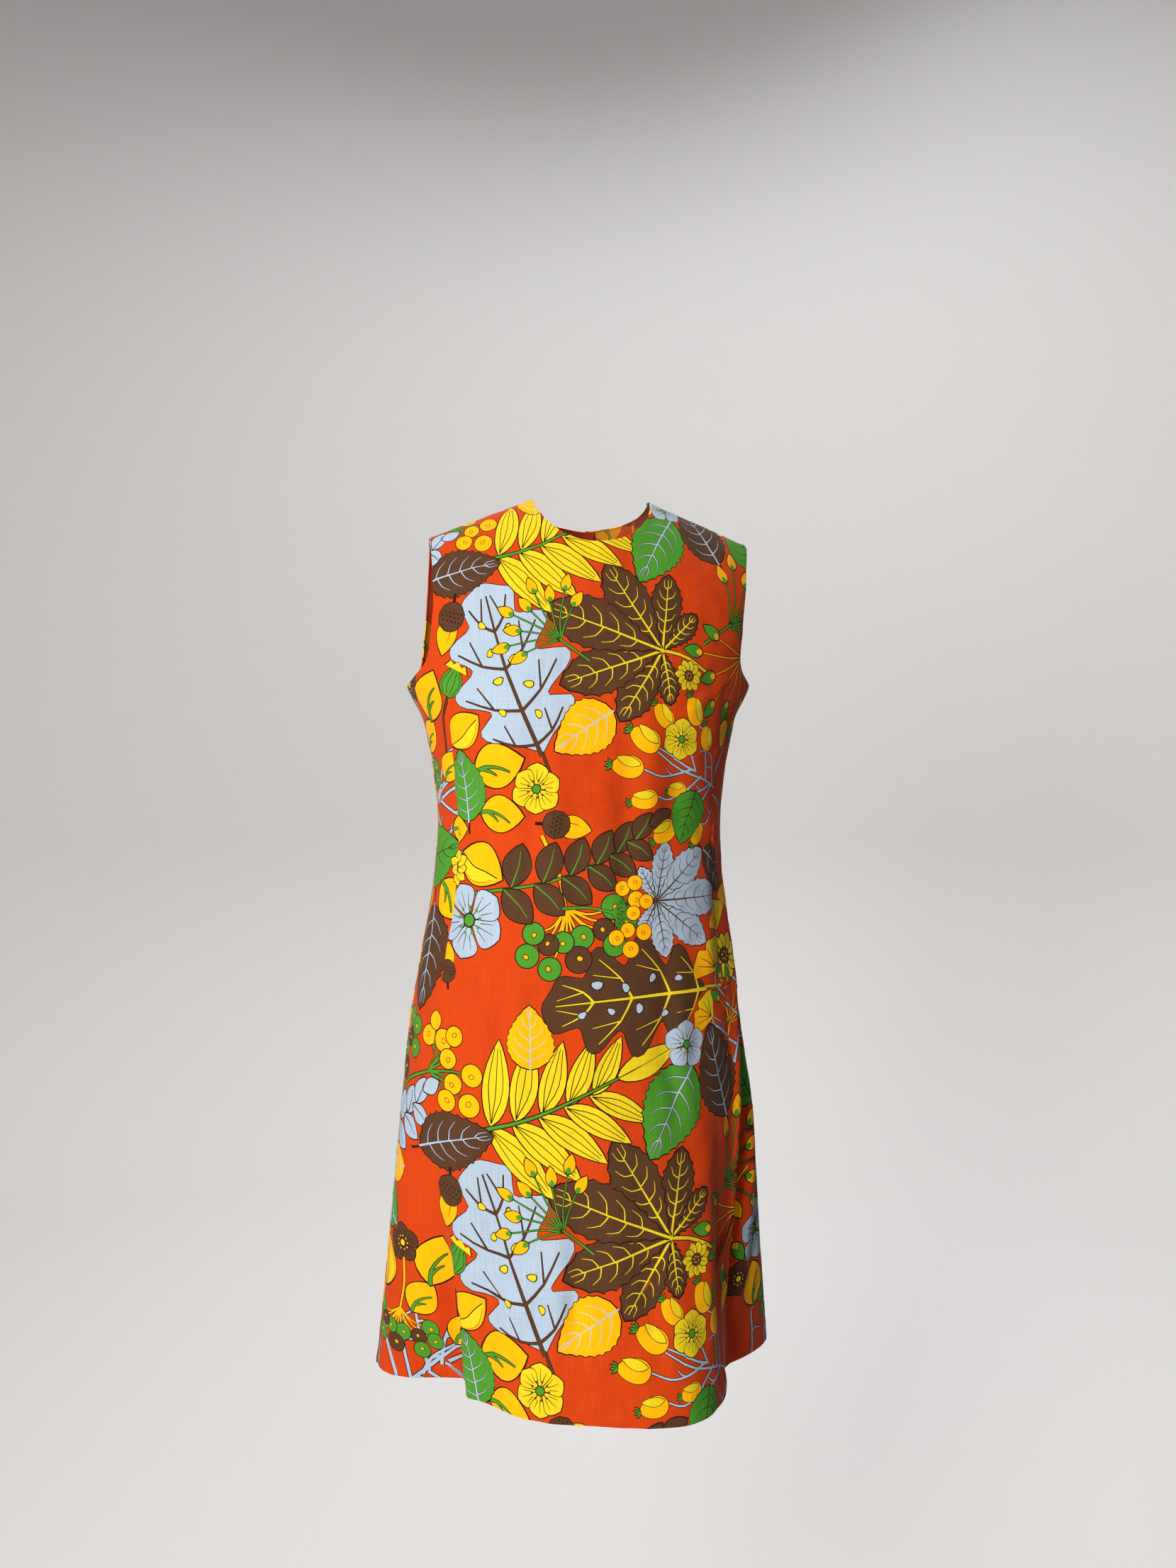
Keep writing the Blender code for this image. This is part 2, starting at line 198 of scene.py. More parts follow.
INKS = {
    "ground": (0.570, 0.066, 0.0095),
    "brown": (0.108, 0.052, 0.026),
    "blue": (0.400, 0.480, 0.580),
    "gold": (0.900, 0.440, 0.006),
    "lemon": (0.740, 0.560, 0.022),
    "green": (0.085, 0.290, 0.034),
    "line": (0.036, 0.015, 0.010),
}
OUTLINE = 0.75
FINE_LINE = 0.07


def curve(points, count=24):
    """A smooth line of evenly counted points through a few given ones."""
    points = np.array(points, float)
    if len(points) == 2:
        return points[0] + (points[1] - points[0]) * np.linspace(0, 1, count)[:, None]
    knots = np.vstack([2 * points[0] - points[1], points, 2 * points[-1] - points[-2]])
    spans = len(points) - 1
    place = np.linspace(0, spans, count)
    first = np.minimum(place.astype(int), spans - 1)
    t = (place - first)[:, None]
    a, b, c, d = (knots[first + step] for step in range(4))
    second, third = 2 * a - 5 * b + 4 * c - d, 3 * b - a - 3 * c + d
    return 0.5 * (2 * b + (c - a) * t + second * t**2 + third * t**3)


def sides(line):
    """The unit direction to the left of a line at each of its points."""
    along = np.gradient(line, axis=0)
    along /= np.maximum(np.hypot(*along.T), 1e-9)[:, None]
    return np.stack([-along[:, 1], along[:, 0]], 1)


def stroke(points, start, end, count=12):
    """A drawn line whose width runs from start to end."""
    line = curve(points, count)
    half = np.linspace(start, end, count)[:, None] / 2
    left = sides(line) * half
    return np.vstack([line - left, (line + left)[::-1]])


def outlined(ink, points, wide, fine, count=12):
    """A drawn line over its dark edge; wide and fine give the two widths at its ends."""
    edge, line = (stroke(points, start, end, count) for start, end in zip(wide, fine))
    return [("line", edge), (ink, line)]


def turned(shape, angle=0.0, size=1.0, at=(0.0, 0.0)):
    """A shape turned anticlockwise in degrees, then sized and moved."""
    turn = math.radians(angle)
    spin = np.array([[math.cos(turn), math.sin(turn)], [-math.sin(turn), math.cos(turn)]])
    return shape @ spin * size + np.array(at)


def thinned(shape, tolerance):
    """A closed outline without the points that hardly leave a straight run."""
    for odd in (0, 1) * 5:
        if len(shape) < 6:
            break
        before, after = np.roll(shape, 1, axis=0), np.roll(shape, -1, axis=0)
        way, gap = after - before, shape - before
        off = np.abs(way[:, 0] * gap[:, 1] - way[:, 1] * gap[:, 0])
        off /= np.maximum(np.hypot(*way.T), 1e-9)
        drop = (off < tolerance) & (np.arange(len(shape)) % 2 == odd)
        drop[-1] &= not drop[0]
        shape = shape[~drop]
    return shape


def placed(layers, angle=0.0, size=1.0, at=(0.0, 0.0)):
    return [(ink, turned(shape, angle, size, at)) for ink, shape in layers]


def round_shape(reach, count=20, squash=1.0, wobble=0.0, lobes=5, phase=0.0):
    turn = np.linspace(0, math.tau, count, endpoint=False)
    radius = reach * (1 + wobble * np.cos(lobes * turn + phase))
    return np.stack([radius * np.cos(turn) * squash, radius * np.sin(turn)], 1)


def inked(ink, outline_of, *sizes, **settings):
    """A shape in its ink over a slightly larger one in the line colour."""
    return [
        ("line", outline_of(*sizes, grown=OUTLINE, **settings)),
        (ink, outline_of(*sizes, grown=0.0, **settings)),
    ]


def disc(reach, grown=0.0, **settings):
    return round_shape(reach + grown, **settings)


def leaf_width(t, width, fullness):
    """Half width of a leaf along its rib: fullness under 1 is widest near the base."""
    return width / 2 * np.sin(math.pi * np.clip(t, 0, 1) ** fullness) ** 0.85


def leaf(length, width, grown=0.0, fullness=0.8, teeth=0, tooth=0.0, bend=0.0, points=10):
    """A leaf from its base at the origin up to its tip, toothed if asked."""
    count = max(teeth * 3, points) + 1
    t = np.linspace(0, 1, count)

    def side(sign):
        half = leaf_width(t, width, fullness)
        if teeth:
            saw = np.arange(count) % 3 == 1
            half = half + tooth * saw * np.sin(math.pi * t) ** 0.3
        half = half + grown * np.sin(math.pi * t) ** 0.15
        y = t * length + grown * (2 * t - 1) * 1.6
        x = sign * half + bend * length * t**2
        return np.stack([x, y], 1)

    return np.vstack([side(1.0), side(-1.0)[-2:0:-1]])


def rib_point(t, length, bend):
    return np.array([bend * length * t**2, t * length])


def veins(
    ink, length, width, pairs=5, reach=0.72, rib=1.6, vein=0.9, rise=0.16, fullness=0.8, bend=0.0,
    first=0.12, last=0.78, edge=0.0,
):
    """A midrib and pairs of side veins; edge draws a dark line round them."""
    drawn = []
    strokes = [([rib_point(t, length, bend) for t in (-0.02, 0.3, 0.62, 0.93)], rib, rib * 0.25)]
    for k in range(pairs):
        share = first + (last - first) * k / max(pairs - 1, 1)
        for sign in (-1, 1):
            start_share = share + (0.02 if sign > 0 else 0.0)
            tip_share = min(start_share + rise, 0.985)
            start = rib_point(start_share, length, bend)
            tip = rib_point(tip_share, length, bend)
            tip = tip + np.array([sign * reach * leaf_width(tip_share, width, fullness), 0.0])
            middle = (start + tip) / 2 + np.array([sign * 0.02, -0.025]) * length
            strokes.append(([start, middle, tip], vein, vein * 0.3))
    for points, start, end in strokes if edge else ():
        drawn.append(("line", stroke(points, start + 2 * edge, end + 2 * edge, 5)))
    for points, start, end in strokes:
        drawn.append((ink, stroke(points, start, end, 5)))
    return drawn


def beech_leaf(fill="brown", rib="blue", length=78, width=48, bend=0.08):
    layers = [("line", stroke([(0, -14), (1, 0)], 2.6, 2.0, 3))]
    layers += inked(fill, leaf, length, width, fullness=0.78, teeth=11, tooth=2.2, bend=bend)
    return layers + veins(rib, length, width, bend=bend, rib=2.2, vein=1.3, edge=0.35)


def oak_leaf(fill="blue", rib="brown", length=150, width=92, bend=0.05, spots=None):
    """A leaf of rounded lobes, with a vein into each lobe and torn spots between them."""
    def outline(grown=0.0):
        # Shares of the length and of the width, from the base up
        lobes = (
            (0.02, 0.03), (0.10, 0.17), (0.17, 0.36), (0.24, 0.40), (0.29, 0.24), (0.34, 0.30),
            (0.42, 0.49), (0.50, 0.50), (0.55, 0.29), (0.60, 0.30), (0.69, 0.44), (0.76, 0.42),
            (0.80, 0.22), (0.86, 0.22), (0.95, 0.24), (1.0, 0.13),
        )
        right, left = [], []
        for t, half in lobes:
            middle = bend * length * t * t
            right.append((middle + half * width, t * length))
            left.insert(0, (middle - half * width * 0.94, (t + 0.025) * length))
        line = curve(right + [(bend * length, length * 1.05)] + left, 74)
        return line - sides(line) * grown

    layers = outlined(rib, [(0, -24), (2, 4)], (4.2, 3.0), (3.0, 2.0), 3)
    layers += [("line", outline(OUTLINE)), (fill, outline())]
    lines = [([rib_point(t, length, bend) for t in (0.0, 0.35, 0.66, 0.97)], 3.4, 0.9)]
    forks = ((0.07, 0.20, 0.30), (0.27, 0.46, 0.40), (0.52, 0.72, 0.35), (0.75, 0.93, 0.17))
    for start, tip, half in forks:
        for sign in (-1, 1):
            root = rib_point(start, length, bend)
            end = rib_point(tip, length, bend) + (sign * half * width, 0)
            fork = root * 0.55 + end * 0.45 + (sign * 2, -0.02 * length)
            lines.append(([root, fork, end], 2.3, 0.8))
            lines.append(([fork, end + (-sign * 0.13 * width, 0.035 * length)], 1.2, 0.6))
    for grow, ink in ((0.8, "line"), (0.0, rib)):
        for points, wide, fine in lines:
            count = 5 if len(points) > 2 else 2
            layers.append((ink, stroke(points, wide + grow, fine + grow, count)))
    if spots:
        rng = random.Random(7)
        for k in range(8):
            at = rib_point(0.20 + 0.085 * k, length, bend) + ((-1) ** k * rng.uniform(9, 21), 3.0)
            spot = round_shape(rng.uniform(3.4, 5.4), 9, squash=0.7, wobble=0.12, lobes=3, phase=k)
            layers += [("line", turned(spot, 30 * k, 1.28, at)), (spots, turned(spot, 30 * k, 1.0, at))]
    return layers


def chestnut_leaf(fill="brown", rib="lemon", size=1.0):
    """Seven toothed leaflets that fan out from one stalk."""
    layers = outlined(rib, [(0, -40), (3, -18), (0, 0)], (3.6, 2.2), (3.4, 2.2), 6)
    for angle, length in ((118, 40), (-118, 42), (78, 62), (-80, 60), (40, 80), (-38, 78), (0, 92)):
        leaflet = inked(fill, leaf, length, length * 0.40, fullness=1.45, teeth=9, tooth=1.7)
        leaflet += veins(
            rib, length, length * 0.40, fullness=1.45, rib=1.9, vein=1.0, first=0.22,
            last=0.80, rise=0.12, reach=0.7,
        )
        layers += placed(leaflet, angle)
    return placed(layers, 0, size)


def willow_spray(fill="lemon", stem="green", pairs=5, length=64, span=120):
    """Long smooth leaflets with drawn lines, in pairs up a stem."""
    layers = []
    spine = [(0, -20), (4, span * 0.4), (-2, span)]
    for k in range(pairs):
        y = span * (0.10 + 0.86 * k / pairs)
        x = 4 * math.sin(math.pi * y / span)
        for sign in (-1, 1):
            size = length * (1.0 - 0.07 * k) * (1.0 if sign < 0 else 0.93)
            blade = inked(fill, leaf, size, size * 0.33, fullness=0.85, bend=-0.12 * sign)
            for offset in (-0.10, 0.0, 0.10):
                middle = (offset * size * 0.9 - 0.03 * sign * size, size * 0.45)
                end = (offset * size * 0.35 - 0.11 * sign * size, size * 0.90)
                blade.append(("line", stroke([(0.0, 2.0), middle, end], 0.7, 0.5, 7)))
            layers += placed(blade, sign * (56 - 5 * k), 1.0, (x, y + (3 if sign > 0 else 0)))
    top = inked(fill, leaf, length * 0.8, length * 0.27, fullness=0.85)
    top.append(("line", stroke([(0, 2), (0, length * 0.7)], 0.7, 0.5, 4)))
    layers += placed(top, 4, 1.0, (-2, span - 2))
    return layers + outlined(stem, spine, (4.4, 2.9), (2.6, 1.2))


def berry(fill, reach, dot="gold"):
    at = (reach * 0.12, -reach * 0.05)
    layers = inked(fill, disc, reach, count=18)
    layers.append(("line", round_shape(reach * 0.24 + 0.5, 8, squash=0.8) + at))
    layers.append((dot, round_shape(reach * 0.24 - 0.1, 8, squash=0.8) + at))
    return layers


def rowan_bunch(fills=("green", "brown"), stem="gold", berries=11, seed=1):
    """Round berries on stalks that fork from one stem."""
    rng = random.Random(seed)
    stalks, fruit = [], []
    fork = np.array([0.0, 26.0])
    for k in range(berries):
        share = (k + 0.5) / berries
        angle = math.radians(-74 + 148 * share + rng.uniform(-5, 5))
        far = (44 if k % 2 else 30) + rng.uniform(-3, 5)
        tip = fork + far * np.array([math.sin(angle), math.cos(angle) * 0.85])
        bow = fork + 0.45 * (tip - fork) + np.array([0.0, 5.0])
        stalks.append([fork, bow, tip])
        fruit.append((tip, rng.uniform(7.0, 9.0), fills[0 if (k * 7 + seed) % 3 else 1]))
    layers = []
    main = [(2, -26), (-2, 0), fork]
    for points in stalks:
        layers.append(("line", stroke(points, 2.9, 2.0, 8)))
    layers.append(("line", stroke(main, 4.0, 3.4, 8)))
    for points in stalks:
        layers.append((stem, stroke(points, 1.7, 0.9, 8)))
    layers.append((stem, stroke(main, 2.6, 2.0, 8)))
    for tip, reach, fill in fruit:
        layers += placed(berry(fill, reach), rng.uniform(0, 360), 1.0, tip)
    return layers


def blossom(petal="blue", heart="green", eye="blue", petals=5, reach=27):
    """An open flower of separate rounded petals, with a ring of stamens."""
    layers = []
    for k in range(petals):
        shape = inked(petal, leaf, reach, reach * 0.86, fullness=1.75, points=12)
        for lean in (-0.20, 0.0, 0.20):
            low = (lean * reach * 0.5, reach * 0.36)
            high = (lean * reach * 1.2, reach * (0.80 - abs(lean) * 0.6))
            shape.append(("line", stroke([low, high], 0.8, 0.4, 2)))
        angle, size = 360 * k / petals + 5 * math.sin(2.1 * k), 1.0 + 0.05 * math.sin(3.3 * k)
        layers += placed(shape, angle, size)
    for k in range(9):
        turn = math.radians(40 * k + 8)
        tip = (reach * 0.34 * math.sin(turn), reach * 0.34 * math.cos(turn))
        layers.append(("line", stroke([(0, 0), tip], 0.9, 0.8, 2)))
        layers.append((heart, round_shape(reach * 0.055, 5) + tip))
    layers.append(("line", round_shape(reach * 0.20, 12)))
    layers.append((eye, round_shape(reach * 0.16, 12)))
    return layers


def daisy(petal="lemon", heart="brown", petals=11, reach=21):
    layers = []
    for k in range(petals):
        angle = 360 * k / petals
        shape = inked(petal, leaf, reach * (1 + 0.08 * math.sin(3 * k)), reach * 0.50, fullness=1.5)
        shape.append(("line", stroke([(0, reach * 0.3), (0, reach * 0.75)], 0.7, 0.4, 3)))
        layers += placed(shape, angle)
    layers += inked(heart, disc, reach * 0.33, count=18)
    for k in range(6):
        turn = math.tau * k / 6
        at = (reach * 0.17 * math.cos(turn), reach * 0.17 * math.sin(turn))
        layers.append(("gold", round_shape(reach * 0.045, 6) + at))
    return layers


def ginkgo_fan(fill="gold", shade="lemon", reach=26):
    """A fan of a leaf on its own stalk, notched in the middle, with one half in a second ink."""
    def fan(grown=0.0, low=-62.0, high=62.0):
        turn = np.radians(np.linspace(low, high, 25))
        notch = 1 - 0.24 * np.exp(-((turn / 0.13) ** 2))
        edge = (reach + grown) * (1 + 0.035 * np.cos(7 * turn)) * notch
        rim = np.stack([np.sin(turn) * edge, np.cos(turn) * edge * 1.06], 1)
        base = np.array([[-1.5 - grown * 0.6, -grown], [1.5 + grown * 0.6, -grown]])
        return np.vstack([base, rim[::-1]])

    layers = outlined("blue", [(0, -15), (0, 1)], (2.4, 1.2), (2.6, 1.4), 3)
    layers += [("line", fan(OUTLINE)), (fill, fan())]
    layers.append((shade, np.vstack([[(0.4, 1.0)], fan(-1.0, 8.0, 60.0)[2:]])))
    for angle in (-38, -19, 4, 22, 42):
        far, turn = reach * 0.86, math.radians(angle)
        tip = (far * math.sin(turn), far * math.cos(turn))
        layers.append(("line", stroke([(0, 3), tip], 0.8, 0.4, 3)))
    return layers


def rose_hip(fill="gold", shade="lemon", reach=13):
    def pod(grown=0.0):
        turn = np.linspace(0, math.tau, 22, endpoint=False)
        swell = 1 + 0.18 * np.cos(turn + math.pi / 2)
        across = (reach + grown) * 0.82 * swell * np.cos(turn)
        return np.stack([across, (reach * 1.2 + grown) * np.sin(turn) + reach * 1.2], 1)

    layers = [("line", pod(grown=OUTLINE)), (fill, pod())]
    for ink, grown in (("line", 0.5), (shade, 0.0)):
        cheek = leaf(reach * 1.9, reach * 0.72, grown=grown, fullness=0.9, bend=0.10)
        layers.append((ink, turned(cheek, -4, 1.0, (reach * 0.30, reach * 0.22))))
    for angle in (-46, -16, 14, 44):
        for ink, length, width, rise in (("line", 0.70, 0.30, 2.30), ("green", 0.58, 0.17, 2.32)):
            sepal = leaf(reach * length, reach * width, points=4)
            layers.append((ink, turned(sepal, angle, 1.0, (0, reach * rise))))
    return layers


def forked_branch(fruit, tips, stem="blue", width=2.6):
    """A branch whose forks each end in a fruit or leaf; tips lists (x, y, turn, size)."""
    layers, lines = [], []
    spine = [(0, -20), (3, 30), (-4, 76), (0, 112)]
    lines.append((spine, width * 1.2, width * 0.6))
    for x, y, *_ in tips:
        root_y = max(y * 0.62 - 8, -8)
        root = (3 * math.sin(root_y / 30), root_y)
        rise = y - root_y
        bow = [(x * 0.52, root_y + rise * 0.26 + 2), (x * 0.93, root_y + rise * 0.62)]
        lines.append(([root, *bow, (x, y)], width, width * 0.55))
        spur = np.array((x * 0.60, root_y + rise * 0.32 + 2))
        twig = [spur, spur + (-0.02 * x, 5), spur + (-0.12 * x, 10)]
        lines.append((twig, width * 0.7, width * 0.35))
    for points, start, end in lines:
        layers.append(("line", stroke(points, start + 1.3, end + 1.3, 10)))
    for points, start, end in lines:
        layers.append((stem, stroke(points, start, end, 10)))
    for x, y, angle, size in tips:
        layers += placed(fruit, angle, size, (x, y))
    return layers


def hip_branch(fill="gold", shade="lemon"):
    tips = (
        (-40, 22, 76, 0.85), (-56, 58, 58, 1.0), (-40, 92, 40, 0.9), (-22, 118, 18, 1.05),
        (4, 112, -6, 1.1), (30, 108, -26, 0.9), (46, 78, -44, 1.0), (30, 52, -50, 0.85),
        (50, 24, -78, 0.9), (-18, 62, 34, 0.75),
    )
    return forked_branch(rose_hip(fill, shade), tips)


def ginkgo_branch(fill="gold", shade="lemon"):
    tips = (
        (-44, 16, 84, 0.85), (-52, 54, 60, 1.05), (-46, 90, 40, 1.0), (-18, 112, 16, 1.15),
        (16, 118, -14, 1.0), (44, 94, -38, 1.05), (54, 58, -60, 1.0), (42, 22, -76, 0.85),
        (18, 66, -24, 0.7),
    )
    return forked_branch(ginkgo_fan(fill, shade), tips)


def pear_branch(fill="gold", shade="lemon"):
    """Broad pointed leaves, each with a folded half in a second ink and a curled vein."""
    def pear_leaf(fold):
        layers = inked(fill, leaf, 34, 27, fullness=0.9, bend=0.06, points=9)
        if fold:
            half = leaf(31, 24, fullness=0.9, bend=0.06, points=9)
            line = curve([(0, 0.5), (3.5, 12), (2.5, 22), (2.6, 31)], 9)
            rim = half[:9][::-1]
            layers.append(("line", np.vstack([line, rim])))
            layers.append((shade, np.vstack([line + (0.7, 0), rim - (0.3, 0)])))
        else:
            for grow, ink in ((0.9, "line"), (0.0, "green")):
                rib, twig = [(0, 0), (-1, 9), (2.5, 18), (7, 24)], [(-1, 6), (3, 12), (6.5, 15)]
                layers.append((ink, stroke(rib, 2.6 + grow, 0.5 + grow, 7)))
                layers.append((ink, stroke(twig, 1.8 + grow, 0.4 + grow, 5)))
        return layers

    tips = (
        (-46, 12, 80, 1.0), (-60, 44, 62, 1.1), (-38, 62, 26, 0.9), (-50, 88, 48, 1.15),
        (-22, 106, 16, 1.0), (6, 118, -6, 1.2), (34, 112, -26, 1.0), (54, 86, -50, 1.15),
        (30, 70, -18, 0.85), (60, 44, -66, 1.05), (44, 10, -84, 0.95), (-6, 78, 30, 0.8),
    )
    branch = forked_branch([], tips)
    for k, (x, y, angle, size) in enumerate(tips):
        branch += placed(pear_leaf(k % 3 == 1), angle, size, (x, y))
    return branch


def privet_branch(fill="brown", stem="green", pairs=6, length=30):
    """Pairs of round leaves along a curved twig."""
    span = 24.0 * pairs
    spine = np.array([(0, -14), (10, span * 0.35), (6, span * 0.7), (-8, span)])
    line = curve(spine, 60)
    layers = outlined(stem, spine, (3.6, 2.2), (2.2, 1.0), 14)
    for k in range(pairs):
        at = line[int(8 + 50 * k / pairs)]
        for sign in (-1, 1):
            size = length * (1 - 0.06 * k)
            one = inked(fill, leaf, size, size * 0.66, fullness=0.95)
            rib = [(0, 0), (sign * 1.5, size * 0.5), (0, size * 0.84)]
            one.append((stem, stroke(rib, 1.3, 0.5, 5)))
            layers += placed(one, sign * (62 - 3 * k) - 4, 1.0, at + (0, 7.0 if sign > 0 else 0))
    one = inked(fill, leaf, length * 0.66, length * 0.42, fullness=0.95)
    return layers + placed(one, 10, 1.0, line[-1])


def poppy_head(fill="green", crown="lemon", stem="green"):
    layers = outlined(stem, [(6, -50), (-2, -24), (0, 0)], (3.2, 1.8), (3.0, 1.6), 6)
    layers += placed(inked(fill, disc, 13, count=22, squash=0.86), 0, 1.0, (0, 13))
    for lean in (-0.55, -0.2, 0.2, 0.55):
        rib = [(lean * 9, 2.5), (lean * 17, 13), (lean * 9, 23.5)]
        layers.append(("line", stroke(rib, 0.6, 0.6, 6)))
    cap = np.array([(-13, 25), (13, 25), (9, 31), (5, 28.5), (0, 32.5), (-5, 28.5), (-9, 31)], float)
    layers.append(("line", (cap - (0, 28)) * 1.12 + (0, 28)))
    layers.append((crown, cap))
    return layers


def acorn(nut="gold", cup="brown"):
    layers = [("line", stroke([(3, -16), (0, 0)], 3.0, 3.4, 4))]
    layers += placed(inked(nut, leaf, 34, 21, fullness=0.92), 0, 1.0, (0, 3))
    layers.append(("line", stroke([(-3.5, 14), (-2.5, 26)], 0.8, 0.4, 4)))
    layers += placed(inked(cup, disc, 12.5, count=20, wobble=0.03, lobes=9), 0, 1.0, (0, 4))
    for row in range(3):
        for k in range(-2, 3):
            at = (k * 4.2 + (row % 2) * 2.1 - 1, 0.5 + row * 3.6)
            layers.append(("line", round_shape(0.9, 6) + at))
    return layers


def bud_spray(fill="gold", stem="green", buds=9):
    """Fine forked stems that end in small pointed buds."""
    layers, tips = [], []
    for k in range(buds):
        angle = -80 + 160 * k / (buds - 1)
        far, turn = 46 if k % 2 else 33, math.radians(angle)
        tip = (far * math.sin(turn), 10 + far * math.cos(turn))
        tips.append((tip, angle))
        points = [(0, 0), (tip[0] * 0.4, tip[1] * 0.5), tip]
        layers += outlined(stem, points, (2.6, 1.4), (1.8, 0.9), 8)
    layers += outlined(stem, [(4, -34), (0, 2)], (3.2, 1.9), (3.0, 1.7), 4)
    for tip, angle in tips:
        layers += placed(inked(fill, leaf, 19, 10.5, fullness=0.8, points=7), -angle, 1.0, tip)
        layers += placed([(stem, leaf(7, 5.5, fullness=0.8, points=4))], -angle, 1.0, tip)
    return layers


def round_leaf(fill="green", rib="line", length=58, width=44, bend=0.0):
    layers = inked(fill, leaf, length, width, fullness=0.72, teeth=9, tooth=1.4, bend=bend)
    return layers + veins(
        rib, length, width, bend=bend, rib=1.5, vein=1.0, reach=0.74, rise=0.2, fullness=0.72
    )


PRINT = {
    "blue oak": oak_leaf("blue", "brown", 165, 118, 0.05, "lemon"),
    "brown oak": oak_leaf("brown", "lemon", 150, 104, -0.06, "blue"),
    "brown chestnut": chestnut_leaf("brown", "lemon", 1.15),
    "blue chestnut": chestnut_leaf("blue", "brown", 0.9),
    "lemon willow": willow_spray("lemon", "green", 5, 68, 118),
    "green rowan": rowan_bunch(("green", "brown"), "gold", 11, 1),
    "gold rowan": rowan_bunch(("gold", "gold"), "green", 9, 4),
    "blue blossom": blossom("blue", "green", "green", 5, 36),
    "lemon blossom": blossom("lemon", "brown", "green", 6, 28),
    "brown blossom": blossom("brown", "gold", "lemon", 5, 22),
    "lemon daisy": daisy("lemon", "brown", 11, 23),
    "ginkgo": ginkgo_branch("gold", "lemon"),
    "pears": pear_branch("gold", "lemon"),
    "hips": hip_branch("gold", "lemon"),
    "brown privet": privet_branch("brown", "green", 6, 36),
    "blue privet": privet_branch("blue", "brown", 5, 34),
    "poppy head": poppy_head("green", "lemon", "brown"),
    "acorn": acorn("gold", "brown"),
    "buds": bud_spray("gold", "green", 9),
    "green buds": bud_spray("green", "gold", 7),
    "green leaf": round_leaf("green", "line", 74, 56, 0.05),
    "gold leaf": round_leaf("gold", "blue", 62, 46, -0.06),
    "brown beech": beech_leaf("brown", "blue", 84, 52, 0.08),
    "green beech": beech_leaf("green", "blue", 78, 50, -0.07),
}
for motif in PRINT.values():
    motif[:] = [(ink, thinned(shape, FINE_LINE)) for ink, shape in motif]
PRINT_SIZE = 0.88
TILE = (600.0, 640.0)
# The motifs of one tile from the bottom layer up: place, degrees turned and size
LAYOUT = (
    ("pears", 238, 510, -66, 1.55),
    ("blue oak", 490, 594, 24, 1.22),
    ("brown chestnut", 28, 74, 69, 1.35),
    ("lemon willow", 410, 184, -71, 1.50),
    ("brown oak", 90, 332, 90, 1.25),
    ("ginkgo", 150, 258, -20, 1.35),
    ("blue chestnut", 22, 434, -89, 1.20),
    ("brown beech", 324, 424, -176, 1.40),
    ("green rowan", 506, 468, -163, 1.60),
    ("brown privet", 430, 448, -72, 1.35),
    ("hips", 130, 548, 65, 1.10),
    ("green beech", 64, 250, 144, 1.40),
    ("gold rowan", 318, 226, -65, 1.45),
    ("green leaf", 276, 470, -72, 1.30),
    ("green rowan", 238, 302, -138, 1.40),
    ("blue privet", 200, 158, -71, 1.30),
    ("brown beech", 124, 186, 20, 1.30),
    ("buds", 126, 108, -66, 1.40),
    ("green buds", 156, 74, 135, 1.40),
    ("gold leaf", 568, 4, 121, 1.25),
    ("brown beech", 336, 156, -72, 1.20),
    ("green leaf", 198, 184, 27, 1.15),
    ("blue blossom", 406, 412, 167, 1.20),
    ("lemon blossom", 240, 462, 8, 1.25),
    ("poppy head", 374, 22, -24, 1.30),
    ("blue blossom", 216, 30, 70, 1.00),
    ("green beech", 290, 58, 55, 1.20),
    ("gold leaf", 480, 254, -3, 1.10),
    ("lemon daisy", 144, 364, 102, 1.20),
    ("brown blossom", 222, 378, -69, 1.15),
    ("acorn", 378, 118, 166, 1.35),
    ("lemon blossom", 484, 558, 114, 1.00),
    ("acorn", 502, 520, -100, 1.20),
    ("lemon daisy", 378, 470, 136, 1.00),
    ("brown blossom", 302, 40, 3, 1.00),
    ("buds", 512, 84, 46, 1.15),
    ("green beech", 402, 522, 6, 1.05),
    ("lemon blossom", 50, 614, -3, 0.85),
    ("brown blossom", 184, 624, 64, 0.90),
    ("green rowan", 296, 634, 164, 1.15),
    ("gold rowan", 542, 426, -97, 1.05),
    ("green buds", 142, 286, -23, 1.10),
    ("brown beech", 92, 488, -124, 0.90),
    ("gold leaf", 306, 126, 92, 0.90),
    ("green leaf", 74, 556, 164, 0.85),
    ("lemon daisy", 60, 46, -79, 0.80),
    ("blue blossom", 58, 274, -75, 0.75),
    ("acorn", 376, 350, 2, 1.00),
    ("poppy head", 268, 414, -141, 0.95),
)

INK_NAMES = list(INKS)


def print_over(panel, left, bottom):
    """Every printed shape that can fall on a panel, with the tile's corner at a place on it."""
    low, high = panel.edge.min(0), panel.edge.max(0)
    corner, tile = np.array((left, bottom)), np.array(TILE) * PRINT_SIZE
    first = np.floor((low - corner) / tile).astype(int) - 1
    last = np.ceil((high - corner) / tile).astype(int) + 1
    shapes = []
    for name, x, y, angle, size in LAYOUT:
        for across in range(first[0], last[0]):
            for over in range(first[1], last[1]):
                at = corner + tile * (across, over) + np.array((x, y)) * PRINT_SIZE
                laid_out = placed(PRINT[name], angle, size * PRINT_SIZE, at)
                shapes += [(ink, shape, 0) for ink, shape in laid_out]
    return shapes


